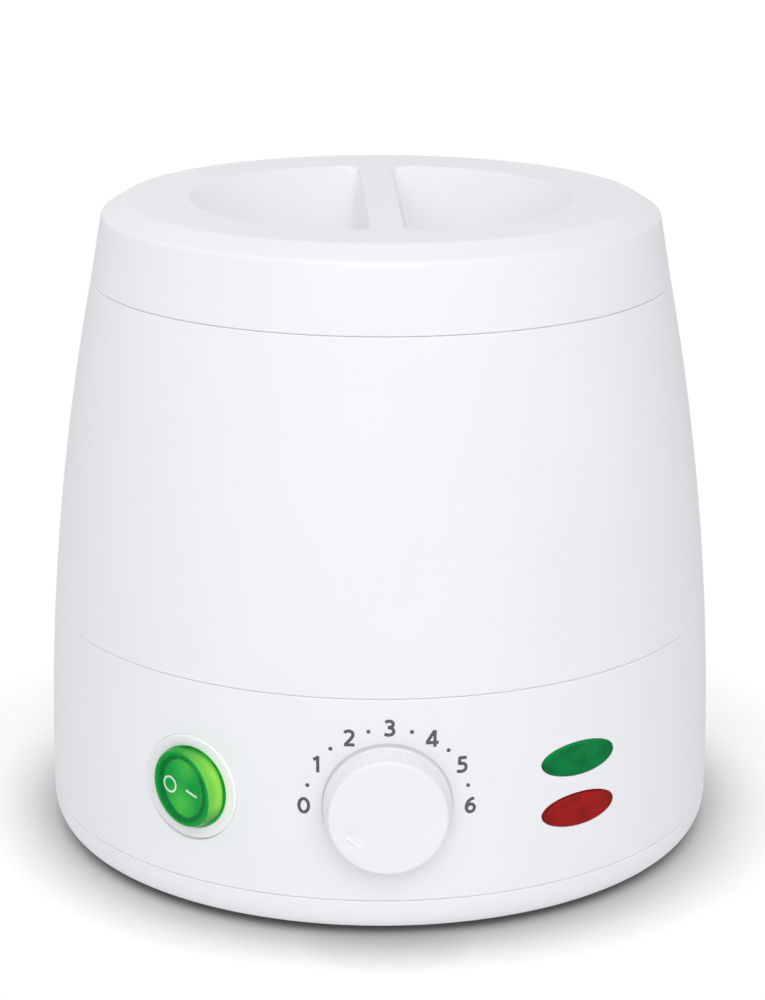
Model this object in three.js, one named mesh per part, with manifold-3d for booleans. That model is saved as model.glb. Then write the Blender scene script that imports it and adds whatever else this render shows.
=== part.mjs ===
// Tabletop wax warmer with a lift-off lid, a lift-out wax pot and a thermostat on the front.
// Millimetres, +Z up. The origin is on the floor under the middle of the base; the front faces -Y.
// Azimuths are degrees round +Z from the front, positive towards +X.
import * as THREE from "three";
import { mergeVertices } from "three/addons/utils/BufferGeometryUtils.js";
import Module from "manifold-3d";

const wasm = await Module();
wasm.setup();

// Fits and cutting
const fit = 0.3; // between faces that touch
const slack = 0.4; // round a shaft, thread or wire in its hole
const seam = 0.3; // the visible line between two mouldings
const overrun = 2; // how far a cutter runs past a face
const weld = 0.0001; // points closer than this are one point

// The outer side, one long arc from the base up to the lid
const bodyRadius = 76.55;
const bodyWidestHeight = 11.1;
const sideArcRadius = 585;
const shellWall = 2.4;

// Heights of the mouldings, one above the other
const plateBottom = 1.5;
const coverHeight = 7.1;
const bandHeight = 44.5;
const housingHeight = 74.1;
const lidHeight = 17.8;

// Lid
const lidBevelWidth = 5;
const lidBevelDrop = 3;
const lidSkirtTaper = 2.58;
const lidMargin = 15.7;
const lidRibDepth = 3.6;
const lidRibWall = 1.6;
const lidRibPlay = 0.5;
const scoopDepth = 12;
const barWidth = 7.4;
const scoopWallSlope = 3.6; // rise over run
const scoopEdgeRound = 0.7;
const scoopCorner = 4.5;
const scoopBlend = 5; // a higher power makes a tighter fillet

// Upper housing
const deckDrop = 5.4;
const deckThickness = 2.2;
const deckPlay = 0.7;
const bossLength = 26.9;
const bossRadius = 4;
const bossClear = 1.6;
const bossRibWidth = 2.4;
const bossRibRise = 1.1;
const housingBossAzimuths = [45, 135, 225, 315];
const strapPostAzimuths = [90, 270];

// Base housing
const lipRise = 4.4;
const lipWall = 1.6;
const lipDrop = 5.6;
const lipRamp = 3;
const lugThickness = 2.5;
const lugDrop = 4.3;
const lugReach = 5.5;
const lugWidth = 11;
const coverBossAzimuths = [67, 113, 247, 293];
const coverBossInset = 10.55;
const coverBossLength = 19.8;
const coverRibRise = 0.8;

// Bottom cover
const plateThickness = 2.4;
const cornerLand = 0.6;
const cornerInset = 3.6;
const coverLipRise = 3;
const coverLipWall = 1.6;
const coverLipRamp = 2.1;
const ventLength = 38;
const ventWidth = 3;
const ventPitch = 8;
const ventCount = 5;

// Feet
const footRadius = 7;
const footRecess = 1.1;
const footChamfer = 0.6;
const footInset = 16.55;
const footAzimuths = [45, 135, 225, 315];

// Screws
const screwRadius = 1.5;
const screwHeadRadius = 3.1;
const screwHeadHeight = 1.6;
const screwReach = 12;
const screwRecess = 1.2;

// Heating well, its gasket and the strap under it
const wellWall = 1.5;
const wellDrop = 1.7;
const wellCorner = 2.6;
const wellFlangeWidth = 8;
const wellFlangeClear = 2.38;
const gasketThickness = 1.5;
const gasketInset = 0.5;
const strapThickness = 1.5;
const strapWidth = 14;
const strapEnd = 3.6;
const strapEyeWall = 4;

// Wax pot and its bail
const potPlay = 1.6;
const potDraft = 0.8;
const potWall = 1.2;
const potCorner = 2.4;
const potRimWidth = 3;
const potRimHeight = 2.4;
const potRimRoll = 0.6;
const earThickness = 1.4;
const earWidth = 10;
const earHoleLift = 3.4;
const bailWire = 1.5;
const bailClear = 1;
const bailCorner = 3;
const bailEnd = 2.4;
const bailDroopDegrees = 1.6;

// Heater, blanket, sensor and cutout
const heaterThickness = 1.8;
const heaterLift = 5.5;
const heaterWidth = 36;
const heaterGapDegrees = 20;
const heaterTabReach = 9;
const heaterTabHeight = 16;
const clampRadius = 2;
const clampHeadRadius = 3.6;
const clampHeadHeight = 2.6;
const clampSetback = 3.6;
const blanketThickness = 5.5;
const blanketInset = 2;
const blanketDrop = 1.6;
const blanketGapDegrees = 48;
const bulbRadius = 3;
const bulbLength = 34;
const bulbRise = 5.1;
const clipThickness = 0.8;
const clipWidth = 8;
const clipFoot = 1.1;
const cutoutDiscRadius = 8.9;
const cutoutCanRadius = 7.4;
const cutoutCanHeight = 7;
const cutoutFlangeLength = 26;
const cutoutFlangeWidth = 12;
const tabLength = 7;
const tabWidth = 6.3;
const tabThickness = 0.8;

// Controls on the front
const controlDrop = 0.95;
const knobBaseRadius = 13.6;
const knobTaper = 1.15;
const knobGap = 0.7;
const knobHeight = 6.05;
const knobEdgeRound = 0.9;
const knobSkin = 1.8;
const knobFacePlate = 1.7;
const knobRibs = 28; // even, so that the ribs close up
const knobRibDepth = 0.22;
const knobHubRadius = 5.4;
const knobBoreCover = 1;
const pointerInset = 4.15;
const pointerAzimuth = 213; // degrees from +X in the face of the knob
const pointerRadius = 2.7;
const pointerDepth = 0.75;

// Thermostat
const thermostatWidth = 30;
const thermostatHeight = 27;
const thermostatDepth = 20;
const thermostatInset = 4.85;
const thermostatSpotInset = 0.75;
const bushingRadius = 4.8;
const bushingReach = 3.4;
const shaftRadius = 3;
const shaftFlatDepth = 0.8;
const shaftTail = 11;
const nutRadius = 8;
const nutHeight = 2.3;
const seatRadius = 9.4;

// Rocker switch
const switchAzimuth = -33.2;
const switchDrop = 0.5;
const bezelRadius = 11.5;
const bezelHeight = 1.4;
const bezelRound = 0.4;
const bezelLip = 1.7;
const switchInset = 1.95;
const barrelPadDepth = 2.1;
const barrelDepth = 20;
const barrelWall = 0.7;
const rockerHoleDepth = 8.6;
const rockerPlay = 0.5;
const rockerRim = 2.8;
const rockerSkirt = 1.5;
const rockerRimWidth = 1.3;
const rockerDish = 0.9;
const rockerRound = 0.5;
const rockerTilt = 13;
const keelWidth = 4;
const keelHeight = 8;
const keelDepth = 4;
const bladeLength = 9;
const bladePitch = 6;

// Indicator lamps
const lampAzimuth = 32.6;
const lampLength = 19.1;
const lampHeight = 7.1;
const lampPitch = 11.4;
const lampRise = 0.1;
const lampProud = 0.2;
const lampFlange = 1.2;
const lampDepth = 6.25;
const holderThickness = 3;
const holderWidth = 16;
const holderEdge = 1.3;
const pegRadius = 2;
const pegClear = 6.4;
const pegTip = 1.2;
const neonRadius = 2.5;
const neonLength = 11;

// Cable gland and terminal block
const glandAzimuth = 180;
const glandRise = 13.4;
const glandBore = 3.6;
const glandWall = 2.2;
const glandFlangeWidth = 2.2;
const glandFlangeHeight = 3.6;
const glandReach = 6.55;
const glandLip = 2;
const glandNutHeight = 4;
const glandSpotInset = 0.85;
const glandPadDepth = 4.2;
const glandLength = 9.6;
const blockLength = 26;
const blockWidth = 16;
const blockHeight = 12;
const blockInset = 38.55;
const blockPostHeight = 2.4;
const blockPostRadius = 4;
const blockRib = 1.2;

// Leads and capillary
const leadRadius = 1.1;
const leadGap = 0.45;
const leadBow = 10;
const heaterLeadDegrees = 15;
const capillaryRadius = 0.8;

// Facets
const roundSegments = 48;
const innerSegments = 28;
const smallSegments = 8;
const curveSegments = 6; // a full circle gets twice as many
const boreSegments = 4;
const bailSides = 6;
const leadSides = 5;
const scoopBarSteps = 4;
const scoopRoundSteps = 8;
const scoopRingShares = [0.4, 0.66, 0.81, 0.9, 0.965, 1];
const scoopMiddleShare = 0.4;

// Heights that follow from the sizes above
const plateTop = plateBottom + plateThickness;
const coverTop = plateBottom + coverHeight;
const baseTop = coverTop + bandHeight;
const lidSeat = baseTop + housingHeight;
const lidTop = lidSeat + lidHeight;
const coverLipTop = coverTop + coverLipRise;
const coverBossTop = plateTop + fit + coverBossLength;
const coverRibFoot = coverLipTop + coverRibRise;
const lipTop = baseTop + lipRise;
const lipFoot = baseTop - lipDrop;
const lugTop = baseTop - lugDrop;
const bossTop = lugTop + fit + bossLength;
const bossRibFoot = lipTop + bossRibRise;
const deckTop = lidSeat - deckDrop;
const wellFloor = baseTop - wellDrop;
const strapTop = wellFloor - wellWall - fit;
const strapBottom = strapTop - strapThickness;
const bulbHeight = wellFloor + bulbRise;
const heaterBottom = bulbHeight + heaterLift;
const heaterTop = heaterBottom + heaterWidth;
const blanketBottom = heaterBottom + blanketInset;
const blanketTop = deckTop - deckThickness - blanketDrop;
const gasketBottom = deckTop + fit;
const flangeBottom = gasketBottom + gasketThickness + fit;
const flangeTop = flangeBottom + wellWall;
const potBottom = wellFloor + fit;
const potRimBottom = flangeTop + fit;
const potRimTop = potRimBottom + potRimHeight;
const earBottom = potRimTop + fit;
const bailHeight = earBottom + earHoleLift;
const controlHeight = (coverTop + baseTop) / 2 - controlDrop;
const switchHeight = controlHeight - switchDrop;
const lampMiddle = controlHeight + lampRise;
const glandHeight = coverTop + glandRise;
const blockBottom = plateTop + blockPostHeight + fit;

// Radii of the lid, the well and what goes round them, from the side inwards
const screwBore = screwRadius + fit;
const lidFoot = lidSeat + seam / 2;
const lidFootRadius = sideRadius(lidFoot);
const lidBevelRadius = lidFootRadius - lidSkirtTaper;
const lidFlatRadius = lidBevelRadius - lidBevelWidth;
const scoopRadius = lidFlatRadius - lidMargin;
const lidRibOuter = lidFootRadius - shellWall - lidRibPlay;
const lidRibInner = lidRibOuter - lidRibWall;
const wellFlangeRadius = lidRibInner - wellFlangeClear;
const wellBore = wellFlangeRadius - wellFlangeWidth;
const wellOuter = wellBore + wellWall;
const deckOpening = wellOuter + deckPlay;
const heaterOuter = wellOuter + fit + heaterThickness;
const blanketOuter = heaterOuter + fit + blanketThickness;
const bossOrbit = blanketOuter + bossClear + bossRadius;
const lugInner = bossOrbit - lugReach;
const potTopRadius = wellBore - potPlay;
const potBottomRadius = potTopRadius - potDraft;
const potRimRadius = potTopRadius + potRimWidth;
const earPlace = (potTopRadius + potRimRadius) / 2;
const bailRadius = potRimRadius + potRimRoll + bailClear;

// Places of what is set in the base, from the side inwards or outwards
const controlSide = sideRadius(controlHeight);
const knobBack = controlSide + knobGap;
const knobFace = knobBack + knobHeight;
const knobFaceRadius = knobBaseRadius - knobTaper;
const knobBoreEnd = knobFace - knobBoreCover;
const pointerOrbit = knobFaceRadius - pointerInset;
const thermostatSeat = controlSide - thermostatInset;
const thermostatSpot = controlSide - thermostatSpotInset;
const thermostatFront = thermostatSeat - fit;
const shaftFlat = shaftRadius - shaftFlatDepth;
const switchSeat = controlSide - switchInset;
const bezelFace = switchSeat + fit + bezelHeight;
const barrelPad = switchSeat - barrelPadDepth;
const barrelRadius = bezelRadius - bezelLip;
const rockerHole = barrelRadius - barrelWall;
const rockerRadius = rockerHole - rockerPlay;
const lampBack = sideRadius(lampMiddle) - lampDepth;
const pegOrbit = (lampPitch + lampHeight) / 2 + pegClear;
const holderHeight = 2 * (pegOrbit + pegRadius + holderEdge);
const glandSide = sideRadius(glandHeight);
const glandSpot = glandSide - glandSpotInset;
const glandPad = glandSpot - glandPadDepth;
const glandTail = glandSpot - glandLength;
const glandFace = glandSide + glandReach;
const glandThread = glandBore + glandWall;
const glandFlange = glandThread + glandFlangeWidth;
const glandFaceRadius = glandBore + glandLip;
const coverBossOrbit = bodyRadius - coverBossInset;
const footOrbit = bodyRadius - footInset;
const blockPlace = bodyRadius - blockInset;
const cornerHeight = coverHeight - cornerLand;

const radians = THREE.MathUtils.degToRad;

/* Outer radius of the body at a height. */
function sideRadius(z) {
  const rise = z - bodyWidestHeight;
  return bodyRadius - sideArcRadius + Math.sqrt(sideArcRadius ** 2 - rise ** 2);
}

/* Points [radius, height] along the side, inset from its outer face. */
function sidePoints(from, to, inset, steps) {
  return Array.from({ length: steps + 1 }, (_, i) => {
    const z = from + ((to - from) * i) / steps;
    return [sideRadius(z) - inset, z];
  });
}

/* Joins a geometry's shared points and leaves out triangles without area. */
function welded(geometry) {
  geometry.deleteAttribute("normal");
  geometry.deleteAttribute("uv");
  const merged = mergeVertices(geometry, weld);
  const kept = [];
  for (let i = 0; i < merged.index.count; i += 3) {
    const corners = [0, 1, 2].map((k) => merged.index.getX(i + k));
    if (new Set(corners).size === 3) kept.push(...corners);
  }
  merged.setIndex(kept);
  return merged;
}

/* Six times the signed volume: negative when the faces point inwards. */
function signedVolume(geometry) {
  const { attributes, index } = geometry;
  const at = (i) => new THREE.Vector3().fromBufferAttribute(attributes.position, index.getX(i));
  let sum = 0;
  for (let i = 0; i < index.count; i += 3) {
    sum += at(i).dot(at(i + 1).cross(at(i + 2)));
  }
  return sum;
}

/* A closed three.js geometry as a solid that can be joined and cut. */
function solid(geometry) {
  const body = welded(geometry);
  const triangles = Uint32Array.from(body.index.array);
  if (signedVolume(body) < 0) {
    triangles.reverse();
  }
  const points = Float32Array.from(body.attributes.position.array);
  return new wasm.Manifold(new wasm.Mesh({ numProp: 3, vertProperties: points, triVerts: triangles }));
}

/* The three.js geometry of a solid. */
function geometryOf(body) {
  const mesh = body.getMesh();
  const geometry = new THREE.BufferGeometry();
  geometry.setAttribute("position", new THREE.BufferAttribute(mesh.vertProperties, 3));
  geometry.setIndex(new THREE.BufferAttribute(mesh.triVerts, 1));
  geometry.computeVertexNormals();
  return geometry;
}

const joined = (first, ...rest) => rest.reduce((a, b) => a.add(b), first);
const cut = (first, ...rest) => rest.reduce((a, b) => a.subtract(b), first);

/* A profile of [radius, height] points turned round the Z axis. */
function revolved(points, segments = roundSegments) {
  const outline = points.map(([r, z]) => new THREE.Vector2(Math.max(r, 0), z));
  const closes = points[0][0] <= 0 && points[points.length - 1][0] <= 0;
  if (!closes) {
    outline.push(outline[0].clone());
  }
  return new THREE.LatheGeometry(outline, segments).rotateX(Math.PI / 2);
}

/* The solid body of revolution inside the side, inset from its outer face. */
function core(inset, from, to) {
  const side = sidePoints(from, to, inset, 4);
  return solid(revolved([[0, from], ...side, [0, to]]));
}

/* A shape in the XY plane, extruded upwards between two heights. */
function prism(shape, from, to, segments = curveSegments) {
  const settings = { depth: to - from, bevelEnabled: false, curveSegments: segments };
  return new THREE.ExtrudeGeometry(shape, settings).translate(0, 0, from);
}

function circle(radius, x = 0, y = 0) {
  return new THREE.Shape().absarc(x, y, radius, 0, 2 * Math.PI, false);
}

function rectangle(width, height, x = 0, y = 0) {
  const w = width / 2;
  const h = height / 2;
  const corners = [[x - w, y - h], [x + w, y - h], [x + w, y + h], [x - w, y + h]];
  return new THREE.Shape(corners.map(([a, b]) => new THREE.Vector2(a, b)));
}

function slot(length, width, x = 0, y = 0) {
  const reach = (length - width) / 2;
  const end = width / 2;
  return new THREE.Shape()
    .moveTo(x - reach, y - end)
    .lineTo(x + reach, y - end)
    .absarc(x + reach, y, end, -Math.PI / 2, Math.PI / 2, false)
    .lineTo(x - reach, y + end)
    .absarc(x - reach, y, end, Math.PI / 2, 1.5 * Math.PI, false);
}

function ellipse(length, height) {
  return new THREE.Shape().absellipse(0, 0, length / 2, height / 2, 0, 2 * Math.PI, false, 0);
}

function hexagon(radius) {
  const corner = (degrees) => new THREE.Vector2(
    radius * Math.cos(radians(degrees)),
    radius * Math.sin(radians(degrees)),
  );
  return new THREE.Shape([0, 60, 120, 180, 240, 300].map(corner));
}

/* A geometry along +Z, laid to point out of the body at an azimuth, at a height. */
function outwards(geometry, azimuth, height) {
  return geometry.rotateX(Math.PI / 2).translate(0, 0, height).rotateZ(radians(azimuth));
}

/* A geometry at the front, turned round to an azimuth. */
function turned(geometry, azimuth) {
  return geometry.rotateZ(radians(azimuth));
}

/* An upright cylinder at an azimuth and a distance from the axis. */
function post(radius, azimuth, orbit, from, to, segments = curveSegments) {
  return solid(turned(prism(circle(radius, 0, -orbit), from, to, segments), azimuth));
}

/* The hole for an upright screw. */
function screwHole(azimuth, orbit, from, to) {
  return post(screwBore, azimuth, orbit, from, to, boreSegments);
}

/* A tube of one section along points, as one smooth curve. */
function wire(points, radius, steps, sides = leadSides) {
  const path = new THREE.CatmullRomCurve3(points.map(([x, y, z]) => new THREE.Vector3(x, y, z)));
  const corner = (i) => new THREE.Vector2(
    radius * Math.cos((2 * Math.PI * i) / sides),
    radius * Math.sin((2 * Math.PI * i) / sides),
  );
  const section = new THREE.Shape(Array.from({ length: sides }, (_, i) => corner(i)));
  return new THREE.ExtrudeGeometry(section, { steps, extrudePath: path, bevelEnabled: false });
}

/* Finishes, as colour, roughness and metalness. */
const finishes = {
  shell: ["#f1f1f4", 0.38, 0],
  inner: ["#dcdcd8", 0.6, 0],
  aluminium: ["#c9cbce", 0.35, 0.9],
  steel: ["#a9acb0", 0.4, 0.9],
  brass: ["#b99a4e", 0.4, 0.9],
  rubber: ["#55565a", 0.85, 0],
  silicone: ["#d8d3cb", 0.8, 0],
  blanket: ["#e8e2cf", 0.95, 0],
  ceramic: ["#b8a890", 0.7, 0],
  black: ["#26272b", 0.6, 0],
  bezel: ["#e9efea", 0.3, 0],
  rocker: ["#22a83c", 0.2, 0],
  green: ["#0e7a45", 0.3, 0],
  red: ["#a51f28", 0.3, 0],
  neon: ["#f3e6d8", 0.1, 0],
  lead: ["#8a3b2c", 0.6, 0],
};

const warmer = new THREE.Group();

/* Adds one named piece to the warmer. */
function piece(name, finish, shape) {
  const geometry = geometryOf(shape instanceof THREE.BufferGeometry ? solid(shape) : shape);
  const [color, roughness, metalness] = finishes[finish];
  const mesh = new THREE.Mesh(geometry, new THREE.MeshStandardMaterial({ color, roughness, metalness }));
  mesh.name = name;
  warmer.add(mesh);
}

/* Lid: two D-shaped finger scoops with a bar between them. */

/* The lesser of several depths, with a fillet where they meet. */
function blendedLeast(...depths) {
  if (Math.min(...depths) <= 0) {
    return 0;
  }
  const sum = depths.reduce((total, depth) => total + depth ** -scoopBlend, 0);
  return sum ** (-1 / scoopBlend);
}

/* Depth of a wall at a distance in from its edge, rounded where it leaves the top. */
function wallDepth(distance) {
  return scoopWallSlope * (Math.hypot(Math.max(distance, 0), scoopEdgeRound) - scoopEdgeRound);
}

/* Where the bar's edge and the round edge of a scoop meet, with the fillet between them. */
function scoopCornerAt(grown) {
  const bar = barWidth / 2 - grown;
  const radius = scoopRadius + grown;
  const fillet = scoopCorner + grown;
  const x = bar + fillet;
  const y = Math.sqrt((radius - fillet) ** 2 - x ** 2);
  return { bar, radius, fillet, x, y, angle: Math.atan2(y, x) };
}

/* Distance in from the D-shaped edge of a scoop. */
function edgeDistance(x, y, grown) {
  const corner = scoopCornerAt(grown);
  const across = x - corner.x;
  const along = Math.abs(y) - corner.y;
  const inCorner = along > 0 && Math.atan2(along, across) > corner.angle;
  if (inCorner) {
    return corner.fillet - Math.hypot(across, along);
  }
  return Math.min(x - corner.bar, corner.radius - Math.hypot(x, y));
}

/* Depth of a scoop at a place, for a scoop grown outwards by a wall. */
function scoopDepthAt(x, y, grown) {
  const { bar, radius } = scoopCornerAt(grown);
  const share = Math.min((x - bar) / (radius - bar), 1);
  const floor = (scoopDepth + grown) * Math.cos((share * Math.PI) / 2);
  return blendedLeast(wallDepth(edgeDistance(x, y, grown)), floor);
}

/* The D outline of a scoop, with rounded corners. */
function scoopOutline(grown) {
  const { bar, radius, fillet, x, y, angle } = scoopCornerAt(grown);
  const edge = Array.from({ length: scoopBarSteps }, (_, i) =>
    new THREE.Vector2(bar, y * ((2 * i) / scoopBarSteps - 1)));
  const upper = new THREE.Path().absarc(x, y, fillet, Math.PI, angle, true).getPoints(1);
  const round = new THREE.Path().absarc(0, 0, radius, angle, -angle, true).getPoints(scoopRoundSteps);
  const lower = new THREE.Path().absarc(x, -y, fillet, -angle, -Math.PI, true).getPoints(1);
  return [...edge, ...upper.slice(0, -1), ...round, ...lower.slice(1, -1)];
}

/* The cutter of one scoop: rings from its middle out to the D, closed by a flat top. */
function scoop(side, grown) {
  const outline = scoopOutline(grown);
  const count = outline.length;
  const middle = new THREE.Vector2(scoopRadius * scoopMiddleShare, 0);
  const points = [];
  const add = (place, top) => {
    const z = top ? lidTop + overrun : lidTop - scoopDepthAt(place.x, place.y, grown);
    points.push(side * place.x, place.y, z);
  };
  for (const top of [false, true]) {
    add(middle, top);
    for (const share of scoopRingShares) {
      outline.forEach((edge) => add(middle.clone().lerp(edge, share), top));
    }
  }
  const geometry = new THREE.BufferGeometry();
  geometry.setAttribute("position", new THREE.Float32BufferAttribute(points, 3));
  geometry.setIndex(ringIndex(count, scoopRingShares.length));
  return solid(geometry);
}

/* Triangles of two stacked discs of rings, joined at their edges. */
function ringIndex(count, rings) {
  const layer = 1 + rings * count;
  const at = (ring, i) => 1 + ring * count + (i % count);
  const last = rings - 1;
  const index = [];
  for (let i = 0; i < count; i++) {
    index.push(0, at(0, i + 1), at(0, i), layer, layer + at(0, i), layer + at(0, i + 1));
    for (let ring = 0; ring < last; ring++) {
      const [a, b, c, d] = [at(ring, i), at(ring, i + 1), at(ring + 1, i + 1), at(ring + 1, i)];
      index.push(a, b, c, a, c, d);
      index.push(layer + a, layer + c, layer + b, layer + a, layer + d, layer + c);
    }
    const [e, f] = [at(last, i), at(last, i + 1)];
    index.push(e, f, layer + f, e, layer + f, layer + e);
  }
  return index;
}

function lidShell() {
  const ribFoot = lidFoot - lidRibDepth;
  const bevelFoot = lidTop - lidBevelDrop;
  const outside = solid(revolved([
    [0, lidTop], [lidFlatRadius, lidTop], [lidBevelRadius, bevelFoot], [lidFootRadius, lidFoot],
    [lidRibOuter, lidFoot], [lidRibOuter, ribFoot], [0, ribFoot],
  ]));
  const inside = solid(revolved([
    [0, lidTop - shellWall], [lidFlatRadius - shellWall / 2, lidTop - shellWall],
    [lidBevelRadius - shellWall, bevelFoot - shellWall / 2], [lidRibInner, lidFoot],
    [lidRibInner, ribFoot - overrun], [0, ribFoot - overrun],
  ]));
  const hollow = cut(inside, scoop(1, shellWall), scoop(-1, shellWall));
  return cut(outside, scoop(1, 0), scoop(-1, 0), hollow);
}

/* Upper housing: the tall shell, its deck and its screw bosses. */

/* A screw boss with a rib that ties it to the shell. */
function boss(azimuth, orbit, from, to, ribFrom, boreTo) {
  const ribShape = rectangle(bossRibWidth, bodyRadius - orbit, 0, -(orbit + bodyRadius) / 2);
  const rib = solid(turned(prism(ribShape, ribFrom, to), azimuth));
  const within = core(shellWall / 2, ribFrom - overrun, to + overrun);
  const body = joined(post(bossRadius, azimuth, orbit, from, to), rib.intersect(within));
  return cut(body, screwHole(azimuth, orbit, from - overrun, boreTo));
}

function upperHousing() {
  const bottom = baseTop + seam / 2;
  const top = lidSeat - seam / 2;
  const shell = solid(revolved([
    ...sidePoints(bottom, top, 0, 6),
    [sideRadius(top) - shellWall, top],
    [sideRadius(deckTop) - shellWall, deckTop],
    [deckOpening, deckTop],
    [deckOpening, deckTop - deckThickness],
    ...sidePoints(deckTop - deckThickness, bottom, shellWall, 2),
  ]));
  const foot = lugTop + fit;
  const bosses = housingBossAzimuths.map((a) =>
    boss(a, bossOrbit, foot, bossTop, bossRibFoot, foot + screwReach));
  const posts = strapPostAzimuths.map((a) =>
    boss(a, bossOrbit, strapTop + fit, bossTop, bossRibFoot, strapTop + screwReach));
  return joined(shell, ...bosses, ...posts);
}

/* Base housing: the band that carries the controls. */

/* A flat outer spot, a flat inner pad and a hole, for a piece set through the wall. */
function panelSeat(body, azimuth, height, hole, spot, pad, radius = seatRadius) {
  const padBody = solid(outwards(prism(circle(radius), pad, spot, innerSegments / 2), azimuth, height));
  const spotShape = prism(circle(radius), spot, bodyRadius + overrun, innerSegments / 2);
  const spotCut = solid(outwards(spotShape, azimuth, height));
  const drill = solid(outwards(prism(circle(hole), pad - overrun, bodyRadius + overrun), azimuth, height));
  return cut(joined(body, padBody), spotCut, drill);
}

function lampHeights() {
  return [lampMiddle + lampPitch / 2, lampMiddle - lampPitch / 2];
}

/* An oval window through the wall, grown all round. */
function lampCutter(height, grown) {
  const shape = ellipse(lampLength + 2 * grown, lampHeight + 2 * grown);
  return solid(outwards(prism(shape, lampBack, bodyRadius + overrun), lampAzimuth, height));
}

/* Two pegs on the inside of the wall that carry the lamp holder. */
function lampPegs() {
  return [-pegOrbit, pegOrbit].map((offset) => {
    const height = lampMiddle + offset;
    const root = sideRadius(height) - shellWall / 2;
    const tip = lampBack - fit - holderThickness - pegTip;
    return solid(outwards(prism(circle(pegRadius), tip, root), lampAzimuth, height));
  });
}

/* A lug with a hole, reaching in from the wall for a housing screw. */
function housingLug(azimuth) {
  const reach = bodyRadius - lugInner;
  const shape = rectangle(lugWidth, reach, 0, -(lugInner + reach / 2));
  const plate = solid(turned(prism(shape, lugTop - lugThickness, lugTop), azimuth));
  const within = core(shellWall / 2, lipFoot - lipRamp - overrun, lipTop);
  return plate.intersect(within).subtract(screwHole(azimuth, bossOrbit, lipFoot - lipRamp, lipTop));
}

function baseHousing() {
  const bottom = coverTop + seam / 2;
  const top = baseTop - seam / 2;
  const lipOuter = (z) => sideRadius(z) - shellWall - fit;
  const lipInner = lipOuter(lipTop) - lipWall;
  let body = solid(revolved([
    ...sidePoints(bottom, top, 0, 3),
    [lipOuter(top), top],
    [lipOuter(lipTop), lipTop],
    [lipInner, lipTop],
    [lipInner, lipFoot],
    ...sidePoints(lipFoot - lipRamp, bottom, shellWall, 2),
  ]));
  body = panelSeat(body, 0, controlHeight, bushingRadius + slack, thermostatSpot, thermostatSeat);
  body = panelSeat(body, glandAzimuth, glandHeight, glandThread + slack, glandSpot, glandPad);
  body = panelSeat(
    body, switchAzimuth, switchHeight, barrelRadius + slack, switchSeat, barrelPad, bezelRadius + fit);
  const bosses = coverBossAzimuths.map((a) =>
    boss(a, coverBossOrbit, plateTop + fit, coverBossTop, coverRibFoot, plateTop + screwReach));
  body = cut(body, ...lampHeights().map((height) => lampCutter(height, fit)));
  return joined(body, ...bosses, ...lampPegs(), ...housingBossAzimuths.map(housingLug));
}

/* Bottom cover: a dished plate with a rounded edge, vents and recesses. */

/* Quarter of an ellipse from the flat bottom up to the side. */
function cornerPoints(steps) {
  const middle = plateBottom + cornerHeight;
  const outer = sideRadius(middle);
  return Array.from({ length: steps + 1 }, (_, i) => {
    const angle = (Math.PI / 2) * (1 - i / steps);
    return [
      outer - cornerInset * (1 - Math.cos(angle)),
      middle - cornerHeight * Math.sin(angle),
    ];
  });
}

function bottomCover() {
  const rim = coverTop - seam / 2;
  const lipOuter = sideRadius(rim) - shellWall - fit;
  const lipInner = lipOuter - coverLipWall;
  const dish = solid(revolved([
    [0, plateBottom], ...cornerPoints(4), [sideRadius(rim), rim], [lipOuter, rim], [lipOuter, coverLipTop],
    [lipInner, coverLipTop], [lipInner, plateTop + coverLipRamp],
    [lipInner - coverLipRamp, plateTop], [0, plateTop],
  ]));
  const vents = Array.from({ length: ventCount }, (_, i) => {
    const y = ventPitch * (i - (ventCount - 1) / 2);
    return solid(prism(slot(ventLength, ventWidth, 0, y), -overrun, plateTop + overrun, 4));
  });
  const recesses = footAzimuths.map((a) =>
    post(footRadius + fit, a, footOrbit, -overrun, plateBottom + footRecess));
  const holes = coverBossAzimuths.map((a) => joined(
    screwHole(a, coverBossOrbit, -overrun, plateTop + overrun),
    post(screwHeadRadius + fit, a, coverBossOrbit, -overrun, plateBottom + screwRecess),
  ));
  const blockPost = post(blockPostRadius, 180, blockPlace, plateTop - plateThickness / 2, blockBottom - fit);
  const blockBore = screwHole(180, blockPlace, plateTop, blockBottom + overrun);
  return cut(joined(dish, blockPost), ...vents, ...recesses, ...holes, blockBore);
}

/* A rubber foot in its recess, standing on the floor. */
function foot(azimuth) {
  const top = plateBottom + footRecess - fit;
  const profile = [
    [0, 0], [footRadius - footChamfer, 0], [footRadius, footChamfer], [footRadius, top], [0, top],
  ];
  return turned(revolved(profile, innerSegments / 2).translate(0, -footOrbit, 0), azimuth);
}

/* An upright screw: head at the bottom, shank up from it. */
function screw(azimuth, orbit, headTop, tip) {
  const bottom = headTop - screwHeadHeight;
  const crown = screwHeadHeight / 3;
  const profile = [
    [0, bottom], [screwHeadRadius - crown, bottom], [screwHeadRadius, bottom + crown],
    [screwHeadRadius, headTop], [screwRadius, headTop], [screwRadius, tip - screwRadius], [0, tip],
  ];
  return turned(revolved(profile, smallSegments).translate(0, -orbit, 0), azimuth);
}

/* Heating well, pot and what is round them. */

function heatingWell() {
  const bottom = wellFloor - wellWall;
  return revolved([
    [0, bottom], [wellOuter - wellCorner - wellWall, bottom], [wellOuter, bottom + wellCorner + wellWall],
    [wellOuter, flangeBottom], [wellFlangeRadius, flangeBottom], [wellFlangeRadius, flangeTop],
    [wellBore, flangeTop], [wellBore, wellFloor + wellCorner], [wellBore - wellCorner, wellFloor],
    [0, wellFloor],
  ], innerSegments);
}

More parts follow.
